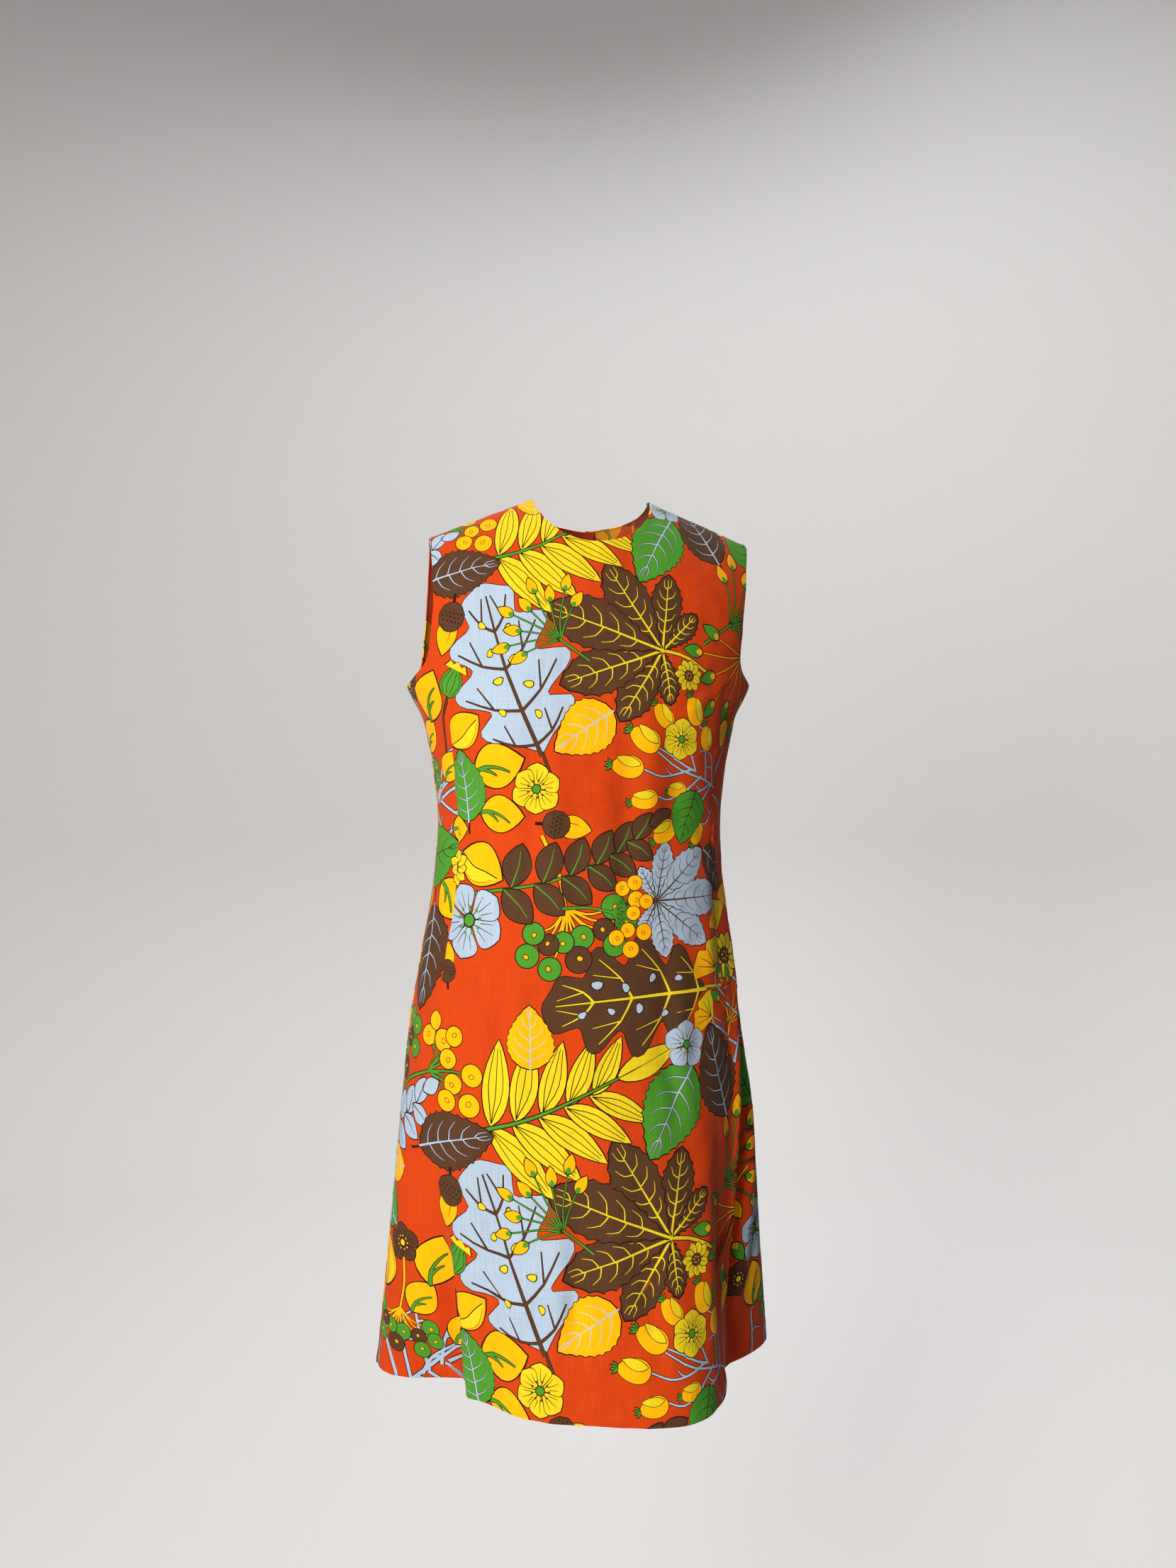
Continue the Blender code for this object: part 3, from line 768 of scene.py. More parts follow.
class Signal:
    """One socket of a material's nodes; sums on it add Math nodes."""

    def __init__(self, tree, socket=None):
        self.tree, self.socket = tree, socket

    def node(self, kind, settings=None, inputs=None, output=0):
        """Any node: its settings first, then the values or links of its sockets."""
        made = self.tree.nodes.new(kind)
        for name, value in (settings or {}).items():
            setattr(made, name, value)
        for name, value in (inputs or {}).items():
            if isinstance(value, Signal):
                self.tree.links.new(value.socket, made.inputs[name])
            else:
                made.inputs[name].default_value = value
        return Signal(self.tree, made.outputs[output])

    def of(self, output):
        return Signal(self.tree, self.socket.node.outputs[output])

    def math(self, operation, *values):
        return self.node("ShaderNodeMath", {"operation": operation}, dict(enumerate(values)))

    def __add__(self, other):
        return self.math("ADD", self, other)

    def __sub__(self, other):
        return self.math("SUBTRACT", self, other)

    def __rsub__(self, other):
        return self.math("SUBTRACT", other, self)

    def __mul__(self, other):
        return self.math("MULTIPLY", self, other)

    __radd__, __rmul__ = __add__, __mul__

    def sine(self):
        return self.math("SINE", self)

    def bright(self, colour, share):
        """A colour made lighter or darker by a share that varies over the surface."""
        grey = self.node("ShaderNodeCombineColor", None, {0: share, 1: share, 2: share})
        multiply = {"data_type": "RGBA", "blend_type": "MULTIPLY"}
        return self.node("ShaderNodeMix", multiply, {0: 1.0, 6: colour, 7: grey}, 2)

    def mix(self, share, first, second):
        return self.node("ShaderNodeMix", {"data_type": "RGBA"}, {0: share, 6: first, 7: second}, 2)

    def feed(self, shader, name):
        self.tree.links.new(self.socket, shader.inputs[name])


def new_finish(name, **sockets):
    """A material with one shader, and its even values set on the shader's own sockets."""
    material = bpy.data.materials.new(name)
    material.use_nodes = True
    shader = material.node_tree.nodes["Principled BSDF"]
    for socket, value in sockets.items():
        shader.inputs[socket.replace("_", " ")].default_value = value
    return material, shader, Signal(material.node_tree)


TWILL_LINE = 0.00115


def linen(name, paleness):
    """Plain linen with slubs and a fine twill line, printed in its ink attribute."""
    material, shader, start = new_finish(
        name, Roughness=0.9, Sheen_Weight=0.10, Sheen_Roughness=0.4, Specular_IOR_Level=0.10
    )
    place = start.node("ShaderNodeUVMap", {"uv_map": "cloth"})
    x = place.node("ShaderNodeSeparateXYZ", None, {0: place})
    y = x.of(1)

    def thread(across, along, detail=2.0):
        spread = start.node("ShaderNodeCombineXYZ", None, {0: x * across, 1: y * along})
        inputs = {"Vector": spread, "Scale": 1.0, "Detail": detail}
        return start.node("ShaderNodeTexNoise", {"noise_dimensions": "2D"}, inputs)

    warp = thread(900.0, 26.0)
    weft = thread(30.0, 760.0)
    specks = thread(1500.0, 1500.0, 1.0)
    wear = thread(9.0, 6.0, 3.0)
    twill = ((x * 0.83 + y * 0.56) * (math.tau / TWILL_LINE) + warp * 5.0).sine()
    shade = 0.66 + warp * 0.26 + weft * 0.16 + specks * 0.12 + wear * 0.12 + twill * 0.03
    ink = start.node("ShaderNodeVertexColor", {"layer_name": "ink"})
    colour = start.bright(ink, shade)
    if paleness:
        colour = start.mix(paleness, colour, (0.50, 0.13, 0.065, 1.0))
    colour.feed(shader, "Base Color")
    relief = warp * 0.6 + weft * 0.5 + specks * 0.35 + twill * 0.16
    bump = start.node("ShaderNodeBump", None, {"Strength": 0.55, "Distance": 0.00035, "Height": relief})
    bump.feed(shader, "Normal")
    return material


printed_linen = linen("printed linen", 0.0)
wrong_side = linen("wrong side of the linen", 0.42)


# ---------------------------------------------------------------------------
# Cutting the panels: each is the surface between its seams, laid out flat by walking along the
# cloth from its middle. The flat piece takes its print and its small folds, and is then sewn up.

NECK_COLUMNS = 6
SHOULDER_COLUMNS = 11
COLUMNS = NECK_COLUMNS + SHOULDER_COLUMNS
SKIRT_ROWS = 22
BODICE_ROWS = 10
ZIP_END_ROW = 11
ZIP_OPENING = 0.0050
ZIP_CLOSING_LENGTH = 0.035
FINE_COLUMNS = 2
FINE_SKIRT_ROWS = 2
FINE_BODICE_ROWS = 6
# On the flat piece, in millimetres: its lattice, the rows along its edge, how near points merge,
# the step that slopes are read over, and how fine a shape still strikes through
LATTICE = 7.0
EDGE_ROWS = (0.7, 1.6, 3.0, 5.0)
MERGING = 0.04
SLOPE_STEP = 0.25
STRUCK_LINE = 0.4
STRUCK_AREA = 25.0
MILLI = 1000.0
# More than any piece's vertices, so that two of them make one number
MANY = 10_000_000
# The shell is a little thinner than the wall of its solid
SHELL = WALL - 0.0002


def top_edge(column, is_back):
    """Distance from the middle and height where a column ends, on neckline or shoulder."""
    sweep = np.pi / 2 * np.minimum(column / NECK_COLUMNS, 1)
    drop = BACK_NECK_DROP if is_back else FRONT_NECK_DROP
    share = np.maximum((column - NECK_COLUMNS) / SHOULDER_COLUMNS, 0)
    across = NECK_HALF_WIDTH * np.sin(sweep) + share * (SHOULDER_HALF_WIDTH - NECK_HALF_WIDTH)
    return across, -drop * np.cos(sweep) - SHOULDER_FALL * share


def back_edge(height):
    """Half the gap between the two backs: open for the zip, a sewn seam below it."""
    fully_open = HEM + (UNDERARM - HEM) * ZIP_END_ROW / SKIRT_ROWS - ZIP_CLOSING_LENGTH
    share = np.clip((fully_open - height) / ZIP_CLOSING_LENGTH, 0, 1)
    closed = share * share * (3 - 2 * share)
    return (ZIP_OPENING + (SEAM_GAP - ZIP_OPENING) * closed) / 2


def panel_place(column, row, is_back):
    """Angle and height of grid points on the wearer's left half of a panel."""
    share = column / COLUMNS
    level = HEM + (UNDERARM - HEM) * np.minimum(row / SKIRT_ROWS, 1)
    seam = np.full_like(level, SIDE_SEAM_ANGLE)
    gap = np.degrees(SEAM_GAP / 2 / radius(seam, level))
    sweep = (180 - SIDE_SEAM_ANGLE if is_back else SIDE_SEAM_ANGLE) - gap
    skirt = share * sweep
    if is_back:
        middle = radius(np.full_like(level, 180.0), level)
        skirt = 180 - skirt - (1 - share) * np.degrees(back_edge(level) / middle)

    rise = (1 - np.cos(np.pi * np.clip(row - SKIRT_ROWS, 0, BODICE_ROWS) / BODICE_ROWS)) / 2
    top_across, top_height = top_edge(column, is_back)
    height = UNDERARM + rise * (top_height - UNDERARM)

    def underarm_across(part):
        turn = part * sweep
        reach = radius(180 - turn if is_back else turn, np.full_like(turn, UNDERARM))
        return reach * np.sin(np.radians(turn))

    seam_across = underarm_across(np.ones_like(share))
    chest = BACK_CHEST_HALF_WIDTH if is_back else FRONT_CHEST_HALF_WIDTH
    below = np.maximum(0, 1 - rise / ARMHOLE_CURVE) ** ARMHOLE_POWER
    above = np.maximum(0, (rise - ARMHOLE_CURVE) / (1 - ARMHOLE_CURVE)) ** ARMHOLE_TOP_POWER
    edge = chest + (seam_across - chest) * below + (SHOULDER_HALF_WIDTH - chest) * above
    straight = (1 - rise) * seam_across + rise * SHOULDER_HALF_WIDTH
    across = (1 - rise) * underarm_across(share) + rise * top_across + share * (edge - straight)
    if is_back:
        across = across + (1 - share) * back_edge(height)
    half_width, front, back, _ = section_at(height).T
    share = np.minimum(across / half_width, 1)
    depth = (back if is_back else front) * (1 - share**SQUARENESS) ** (1 / SQUARENESS)
    bodice = np.degrees(np.arctan2(across, depth))
    if is_back:
        bodice = 180 - bodice
    in_skirt = row <= SKIRT_ROWS
    return np.where(in_skirt, skirt, bodice), np.where(in_skirt, level, height)


Panel = namedtuple("Panel", "angle height flat edge kinds tree triangles")


def cut_panel(columns, is_back, turn, middle):
    """A panel's grid laid flat in millimetres, with its edge and what each side of it is."""
    rows = np.concatenate([
        np.linspace(0, SKIRT_ROWS, SKIRT_ROWS * FINE_SKIRT_ROWS + 1),
        SKIRT_ROWS + np.linspace(0, BODICE_ROWS, BODICE_ROWS * FINE_BODICE_ROWS + 1)[1:],
    ])
    grid = (len(rows), len(columns))
    every_row, every_column = np.repeat(rows, grid[1]), np.tile(columns, grid[0])
    angle, height = panel_place(np.abs(every_column), every_row, is_back)
    angle = angle * (np.sign(every_column) if turn == 0 else turn)
    point = cloth_point(angle, height).reshape(*grid, 3)
    _, right, up = (axis.reshape(*grid, 3) for axis in cloth_frame(angle, height))

    def step(start, end):
        """How far right and up in the cloth one grid point lies from another."""
        way = point[end] - point[start]
        return np.stack([(way * (axis[start] + axis[end])).sum(-1) for axis in (right, up)], -1) / 2

    flat = np.zeros((*grid, 2))
    underarm_row = SKIRT_ROWS * FINE_SKIRT_ROWS
    flat[:, middle, 0] = 0 if turn == 0 else -turn * back_edge(height.reshape(grid)[:, middle])
    flat[1:, middle, 1] = np.cumsum(np.linalg.norm(np.diff(point[:, middle], axis=0), axis=1))
    for column in range(middle + 1, grid[1]):
        flat[:, column] = flat[:, column - 1] + step(np.s_[:, column - 1], np.s_[:, column])
    for column in range(middle - 1, -1, -1):
        flat[:, column] = flat[:, column + 1] + step(np.s_[:, column + 1], np.s_[:, column])
    for row in range(underarm_row + 1, grid[0]):
        flat[row] = flat[row - 1] + step(np.s_[row - 1], np.s_[row])
    flat *= MILLI

    outer = np.maximum(np.abs(columns[:-1]), np.abs(columns[1:]))
    top = ["neck" if column <= NECK_COLUMNS else "shoulder" for column in outer]
    side = ["side"] * underarm_row + ["armhole"] * (grid[0] - 1 - underarm_row)
    left = ["centre"] * (grid[0] - 1) if turn < 0 else side
    right_side = ["centre"] * (grid[0] - 1) if turn > 0 else side
    kinds = ["hem"] * (grid[1] - 1) + right_side + top[::-1] + left[::-1]
    edge = np.vstack([flat[0, :-1], flat[:-1, -1], flat[-1, :0:-1], flat[:0:-1, 0]])

    index = np.arange(grid[0] * grid[1]).reshape(grid)
    corners = [index[:-1, :-1], index[:-1, 1:], index[1:, 1:], index[1:, :-1]]
    a, b, c, d = (corner.ravel() for corner in corners)
    triangles = np.vstack([np.stack([a, b, c], 1), np.stack([a, c, d], 1)])
    flat = flat.reshape(-1, 2)
    tree = BVHTree.FromPolygons([(x, y, 0.0) for x, y in flat], triangles.tolist())
    return Panel(angle, height, flat, edge, kinds, tree, triangles)


def place_on_form(panel, points):
    """Angle and height on the form of flat points of a panel."""
    hits = [panel.tree.find_nearest((x, y, 0.0)) for x, y in points]
    corners = panel.triangles[[hit[2] for hit in hits]]
    at = np.array([hit[0][:2] for hit in hits])
    a, b, c = (panel.flat[corners[:, i]] for i in range(3))
    ab, ac, ap = b - a, c - a, at - a
    whole = ab[:, 0] * ac[:, 1] - ab[:, 1] * ac[:, 0]
    second = (ap[:, 0] * ac[:, 1] - ap[:, 1] * ac[:, 0]) / whole
    third = (ab[:, 0] * ap[:, 1] - ab[:, 1] * ap[:, 0]) / whole
    shares = np.stack([1 - second - third, second, third], 1)
    return (panel.angle[corners] * shares).sum(1), (panel.height[corners] * shares).sum(1)


def inside(shape, points):
    """Which points lie inside a closed outline."""
    x, y = points[:, 0], points[:, 1]
    within = np.zeros(len(points), bool)
    for (x0, y0), (x1, y1) in zip(shape, np.roll(shape, -1, axis=0)):
        if y0 != y1:
            within ^= ((y0 > y) != (y1 > y)) & (x < (x1 - x0) * (y - y0) / (y1 - y0) + x0)
    return within


def edge_distance(panel, points, batch=4000):
    """Distance to the nearest side of the panel, the way from it, and which side it is."""
    start, way = panel.edge, np.roll(panel.edge, -1, axis=0) - panel.edge
    best, off = np.zeros(len(points)), np.zeros((len(points), 2))
    side = np.zeros(len(points), int)
    for first in range(0, len(points), batch):
        block = points[first : first + batch, None]
        share = np.clip(((block - start) * way).sum(-1) / (way * way).sum(-1), 0, 1)
        gap = block - (start + share[..., None] * way)
        distance = np.hypot(gap[..., 0], gap[..., 1])
        pick = distance.argmin(1)
        rows = np.arange(len(pick))
        best[first : first + batch] = distance[rows, pick]
        off[first : first + batch] = gap[rows, pick]
        side[first : first + batch] = pick
    return best, off / np.maximum(best, 1e-9)[:, None], side


def lattice_points(panel):
    """Even points over a panel, with rows that follow its edge closely."""
    (left, bottom), (right, top) = panel.edge.min(0), panel.edge.max(0)
    xs, ys = np.meshgrid(np.arange(left, right, LATTICE), np.arange(bottom, top, LATTICE * 0.866))
    xs[1::2] += LATTICE / 2
    even = np.stack([xs.ravel(), ys.ravel()], 1)
    even = even[inside(panel.edge, even)]
    even = even[edge_distance(panel, even)[0] > EDGE_ROWS[-1] * 1.25]
    rows = []
    start, way = panel.edge, np.roll(panel.edge, -1, axis=0) - panel.edge
    length = np.hypot(*way.T)
    inward = np.stack([-way[:, 1], way[:, 0]], 1) / length[:, None]
    for depth in EDGE_ROWS:
        gap = 2.5 + depth
        for k in range(len(start)):
            count = max(round(length[k] / gap), 1)
            share = ((np.arange(count) + 0.5) / count)[:, None]
            rows.append(start[k] + way[k] * share + inward[k] * depth)
    rows = np.vstack(rows)
    rows = rows[inside(panel.edge, rows)]
    near = edge_distance(panel, rows)[0]
    close = np.min([np.abs(near - depth) for depth in EDGE_ROWS], axis=0)
    return np.vstack([even, rows[close < 0.08]])


def edges_of(faces):
    """Each directed edge of the faces, the face it belongs to, and a number shared by twins."""
    ends = np.vstack([faces[:, [0, 1]], faces[:, [1, 2]], faces[:, [2, 0]]])
    low, high = np.sort(ends, axis=1).T
    return ends, np.tile(np.arange(len(faces)), 3), low * MANY + high


def twins_of(code):
    """Pairs of places in a list of edges that are the same edge seen from its two faces."""
    order = code.argsort(kind="stable")
    twin = np.flatnonzero(np.diff(code[order]) == 0)
    return order[twin], order[twin + 1]


def triangles_along(panel, lines, drawn=None, more=None):
    """Triangles within the flat piece's edge that keep to each given line, closed or open."""
    points, edges, count = [], [], 0
    for line, closed in lines:
        index = np.arange(count, count + len(line))
        edges.append(np.stack([index, np.roll(index, -1)], 1)[: None if closed else -1])
        points.append(line)
        count += len(line)
    if drawn:
        points.append(drawn[0])
        edges.append(drawn[1] + count)
    if more is not None:
        points.append(more)
    points, edges = [Vector(p) for p in np.vstack(points).tolist()], np.vstack(edges).tolist()
    verts, sides_made, faces, _, sources, _ = delaunay_2d_cdt(points, edges, [], 0, MERGING, True)
    verts, faces = np.array([tuple(v) for v in verts]), np.array([tuple(f) for f in faces])
    own = len(panel.edge)
    cut = [side for side, source in zip(sides_made, sources) if source and min(source) < own]
    cut = np.sort(np.array(cut), axis=1) @ (MANY, 1)
    # The piece is the part that its own edge fences in
    _, owner, code = edges_of(faces)
    one, other = twins_of(code)
    joined = ~np.isin(code[one], cut)
    one, other = owner[one[joined]], owner[other[joined]]
    label = np.arange(len(faces))
    while (label[one] != label[other]).any():
        least = np.minimum(label[one], label[other])
        np.minimum.at(label, label[one], least)
        np.minimum.at(label, label[other], least)
        label = label[label]
    a, b, c = (verts[faces[:, k]] for k in range(3))
    (x1, y1), (x2, y2) = (b - a).T, (c - a).T
    covered = np.abs(x1 * y2 - y1 * x2) * inside(panel.edge, verts[faces].mean(1))
    faces = faces[label == np.bincount(label, covered).argmax()]
    used, faces = np.unique(faces, return_inverse=True)
    return verts[used], faces.reshape(-1, 3)


def printed_triangles(panel, shapes, extra=(), zone_of=None):
    """The flat cloth as triangles along the outlines that show, with each triangle's ink."""
    low, high = panel.edge.min(0) - 1, panel.edge.max(0) + 1
    shapes = [s for s in shapes if (s[1].max(0) > low).all() and (s[1].min(0) < high).all()]
    lines = [(panel.edge, True)] + [(line, False) for line in extra]
    verts, faces = triangles_along(panel, lines + [(shape, True) for _, shape, _ in shapes])
    faces = faces[verts[faces].mean(1)[:, 0].argsort()]
    middle = verts[faces].mean(1)
    inks = np.zeros(len(faces), int)
    zones = zone_of(middle) if zone_of else np.zeros(len(faces), int)
    for ink, shape, zone in shapes:
        first, last = np.searchsorted(middle[:, 0], (shape[:, 0].min(), shape[:, 0].max()))
        window = middle[first:last]
        under, over = shape[:, 1].min(), shape[:, 1].max()
        rows = np.flatnonzero((window[:, 1] > under) & (window[:, 1] < over))
        rows = rows[(zones[first + rows] == zone) & inside(shape, window[rows])]
        inks[first + rows] = INK_NAMES.index(ink)
    ends, owner, code = edges_of(faces)
    one, other = twins_of(code)
    shown = ends[one[inks[owner[one]] != inks[owner[other]]]]
    printed = BVHTree.FromPolygons([(x, y, 0.0) for x, y in verts], faces.tolist())
    met, shown = np.unique(shown, return_inverse=True)
    borders = (verts[met], shown.reshape(-1, 2))
    verts, faces = triangles_along(panel, lines, borders, lattice_points(panel))
    nearest = [printed.find_nearest((x, y, 0.0))[2] for x, y in verts[faces].mean(1)]
    return verts, faces, inks[nearest]


def area_within(shape):
    x, y = shape.T
    return abs(np.dot(x, np.roll(y, -1)) - np.dot(y, np.roll(x, -1))) / 2


def struck_through(shapes):
    """What shows of the print on the wrong side: its larger shapes, without the drawn lines."""
    kept = []
    for ink, shape, zone in shapes:
        if ink != "line" and area_within(shape) > STRUCK_AREA:
            kept.append((ink, thinned(shape, STRUCK_LINE), zone))
    return kept


def fold_depth(folds, points):
    """How far the folds carry points of the flat piece out, in millimetres.

    A fold is a soft trough or ridge: its middle's place across and above the hem, its length,
    width and depth (a trough's is negative), its lean from upright in degrees, and its bow.
    """
    out = np.zeros(len(points))
    for x, y, length, width, depth, lean, bow in folds:
        turn = math.radians(lean)
        gap = points - (x, y)
        along = gap[:, 0] * math.sin(turn) + gap[:, 1] * math.cos(turn)
        across = gap[:, 0] * math.cos(turn) - gap[:, 1] * math.sin(turn)
        share = along / (length / 2)
        across = across + bow * (share**2 - 0.5) + 0.10 * width * np.sin(along / 17 + x)
        spread = width * (1 + 0.35 * share)
        ends = np.exp(-np.abs(share) ** 3 * 1.6)
        out += depth * ends * np.exp(-0.5 * (across / spread) ** 2)
    return out + uneven(points)


# width, height, lean and start of the long low waves in the cloth
WAVES = (
    (47, 210, 0.15, 0.3),
    (31, 150, -0.2, 2.1),
    (68, 120, 0.4, 4.0),
    (23, 96, 0.05, 5.2),
    (38, 61, -0.5, 1.4),
)
WAVE_FLATNESS = 140


def uneven(points):
    """The slight unevenness of linen that has been worn and pressed, longer along the warp."""
    out = np.zeros(len(points))
    for wide, tall, lean, start in WAVES:
        across = (points[:, 0] + lean * points[:, 1]) * math.tau / wide
        along = points[:, 1] * math.tau / tall
        swell = np.sin(across + 1.3 * np.sin(along + start)) * np.sin(along + 2 * start)
        out += wide / WAVE_FLATNESS * swell
    return out


SEWN = ("side", "shoulder", "centre")
# The relief along an edge in millimetres: how deep, and how far in from the edge it reaches
SEAM_GROOVE = (0.4, 3.0)
SEAM_PUCKER = (0.3, 7.0)
TURNED_ROUND = (0.5, 0.9)
TURNED_BULK = (0.25, 9.0)
TURNED_PUCKER = (0.10, 7.0)
HEM_STITCHES = (0.22, 3.0)
HEM_DEPTH = 32.0
# Folds die away within this distance of a sewn seam
SEAM_HOLD = 14.0


def edge_depth(panel, distance, side, points):
    """How seams draw the cloth in and how turned edges round over, in millimetres."""
    kinds = np.array(panel.kinds)[side]
    run = np.where(np.isin(kinds, ("hem", "shoulder", "neck")), points[:, 0], points[:, 1])
    pucker = 0.5 + 0.5 * np.sin(run / 6.3 + 1.7 * np.sin(run / 23.0)) * np.sin(run / 14.0 + 1.0)

    def near(relief, power=2, line=0.0):
        depth, reach = relief
        return depth * np.exp(-(((distance - line) / reach) ** power))

    free = np.clip(distance / SEAM_GROOVE[1], 0, 1)
    seam = -near(SEAM_GROOVE) - near(SEAM_PUCKER) * (0.4 + pucker * free)
    turned = near(TURNED_BULK, 4) + near(TURNED_PUCKER) * pucker - near(TURNED_ROUND)
    hem = turned - near(HEM_STITCHES, 2, HEM_DEPTH) * (0.3 + pucker)
    out = np.where(np.isin(kinds, SEWN), seam, turned)
    return np.where(kinds == "hem", hem, out)


def edge_loop(panel, flat, faces):
    """The vertices round a flat piece in order, how far round each is, and each edge's face."""
    ends, owner, code = edges_of(faces)
    _, first, times = np.unique(code, return_index=True, return_counts=True)
    rim = first[times == 1]
    follow = {int(ends[k, 0]): (int(ends[k, 1]), int(owner[k])) for k in rim}
    loop = [int(min(follow, key=lambda k: math.dist(flat[k], panel.edge[0])))]
    owners = []
    while len(owners) < len(rim):
        after, face = follow[loop[-1]]
        loop.append(after)
        owners.append(face)
    run = np.concatenate([[0], np.cumsum(np.hypot(*np.diff(flat[loop], axis=0).T))])
    return loop, run / run[-1], owners


def sew_panel(name, panel, shapes, folds, lines=(), line_depth=None, zone_of=None):
    """The panel's two faces and its rim as one closed mesh on the form."""

    def out_at(points, far, side):
        sewn = np.isin(np.array(panel.kinds)[side], SEWN)
        held = np.where(sewn, 1 - np.exp(-((far / SEAM_HOLD) ** 2)), 1.0)
        out = held * fold_depth(folds, points) + edge_depth(panel, far, side, points)
        return out + (line_depth(points) if line_depth else 0.0)

    def laid(flat, under):
        """The flat cloth's points on the form, some way under its face, and where they face."""
        angle, height = place_on_form(panel, flat)
        outward, right, up = cloth_frame(angle, height)
        distance, off, side = edge_distance(panel, flat)
        facing = outward.copy()
        for axis, along in enumerate((right, up)):
            way = SLOPE_STEP * np.eye(2)[axis]
            change = off[:, axis] * SLOPE_STEP
            rise = out_at(flat + way, distance + change, side)
            rise -= out_at(flat - way, distance - change, side)
            facing -= along * (rise / (2 * SLOPE_STEP))[:, None]
        place = cloth_point(angle, height)
        place += outward * (out_at(flat, distance, side) / MILLI - under)[:, None]
        # The front keeps to its own side of the shoulder seam, and so do the backs
        depth = place[:, 1]
        before, behind = np.minimum(depth, -SEAM_GAP / 2), np.maximum(depth, SEAM_GAP / 2)
        place[:, 1] = np.where(np.abs(angle) < 90, before, behind)
        return place, unit(facing)

    flat, faces, inks = printed_triangles(panel, shapes, lines, zone_of)
    struck = struck_through(shapes)
    back_flat, back_faces, back_inks = printed_triangles(panel, struck, lines, zone_of)
    outer, outer_facing = laid(flat, 0.0)
    inner, inner_facing = laid(back_flat, SHELL)

    # The rim is zipped from one face's edge to the other's, by how far round each has come
    count = len(flat)
    loop, run, owners = edge_loop(panel, flat, faces)
    back_loop, back_run, _ = edge_loop(panel, back_flat, back_faces)
    rim_faces, rim_inks = [], []
    at, back_at, end, back_end = 0, 0, len(owners), len(back_loop) - 1
    while at < end or back_at < back_end:
        ahead = back_at == back_end or (at < end and run[at + 1] <= back_run[back_at + 1])
        behind = count + back_loop[back_at]
        rim_inks.append(inks[owners[min(at, end - 1)]])
        if ahead:
            rim_faces.append((loop[at + 1], loop[at], behind))
            at += 1
        else:
            rim_faces.append((loop[at], behind, count + back_loop[back_at + 1]))
            back_at += 1
    every_face = np.vstack([faces, back_faces[:, ::-1] + count, rim_faces])
    every_ink = np.concatenate([inks, back_inks, rim_inks])

    mesh = bpy.data.meshes.new(name)
    mesh.vertices.add(count + len(back_flat))
    mesh.vertices.foreach_set("co", np.vstack([outer, inner]).ravel())
    mesh.loops.add(every_face.size)
    mesh.loops.foreach_set("vertex_index", every_face.ravel())
    mesh.polygons.add(len(every_face))
    mesh.polygons.foreach_set("loop_start", np.arange(0, every_face.size, 3))
    sizes = (len(faces), len(back_faces), len(rim_faces))
    mesh.polygons.foreach_set("material_index", np.repeat((0, 1, 0), sizes))
    mesh.update(calc_edges=True)
    mesh.validate()
    cloth = mesh.uv_layers.new(name="cloth")
    laid_flat = np.vstack([flat, back_flat]) / MILLI
    cloth.uv.foreach_set("vector", laid_flat[every_face.ravel()].ravel())
    ink = mesh.color_attributes.new("ink", "FLOAT_COLOR", "CORNER")
    values = np.array([(*INKS[name], 1.0) for name in INK_NAMES])
    ink.data.foreach_set("color", np.repeat(values[every_ink], 3, axis=0).ravel())
    mesh.polygons.foreach_set("use_smooth", np.ones(len(every_face), bool))
    places = np.vstack([outer, inner])[rim_faces]
    rim_facing = unit(np.cross(places[:, 1] - places[:, 0], places[:, 2] - places[:, 0]))
    facing = np.vstack([outer_facing, -inner_facing])[every_face.ravel()]
    facing[-3 * len(rim_faces) :] = np.repeat(rim_facing, 3, axis=0)
    mesh.normals_split_custom_set(facing.tolist())
    for material in (printed_linen, wrong_side):
        mesh.materials.append(material)
    piece = bpy.data.objects.new(name, mesh)
    bpy.context.scene.collection.objects.link(piece)
    return piece


def flat_size(panel):
    """Width, length and area of the cut piece, in metres."""
    shape = panel.edge / MILLI
    width, length = np.ptp(shape, axis=0)
    return (float(width), float(length)), float(area_within(shape))


# ---------------------------------------------------------------------------
# The front: one panel from neckline to hem. Two long contour darts take in its waist and cut
# across the print; its neck, armholes and hem are turned under.

FRONT_COLUMNS = np.arange(-COLUMNS * FINE_COLUMNS, COLUMNS * FINE_COLUMNS + 1) / FINE_COLUMNS
FRONT_PRINT_AT = (-481.0, 100.0)
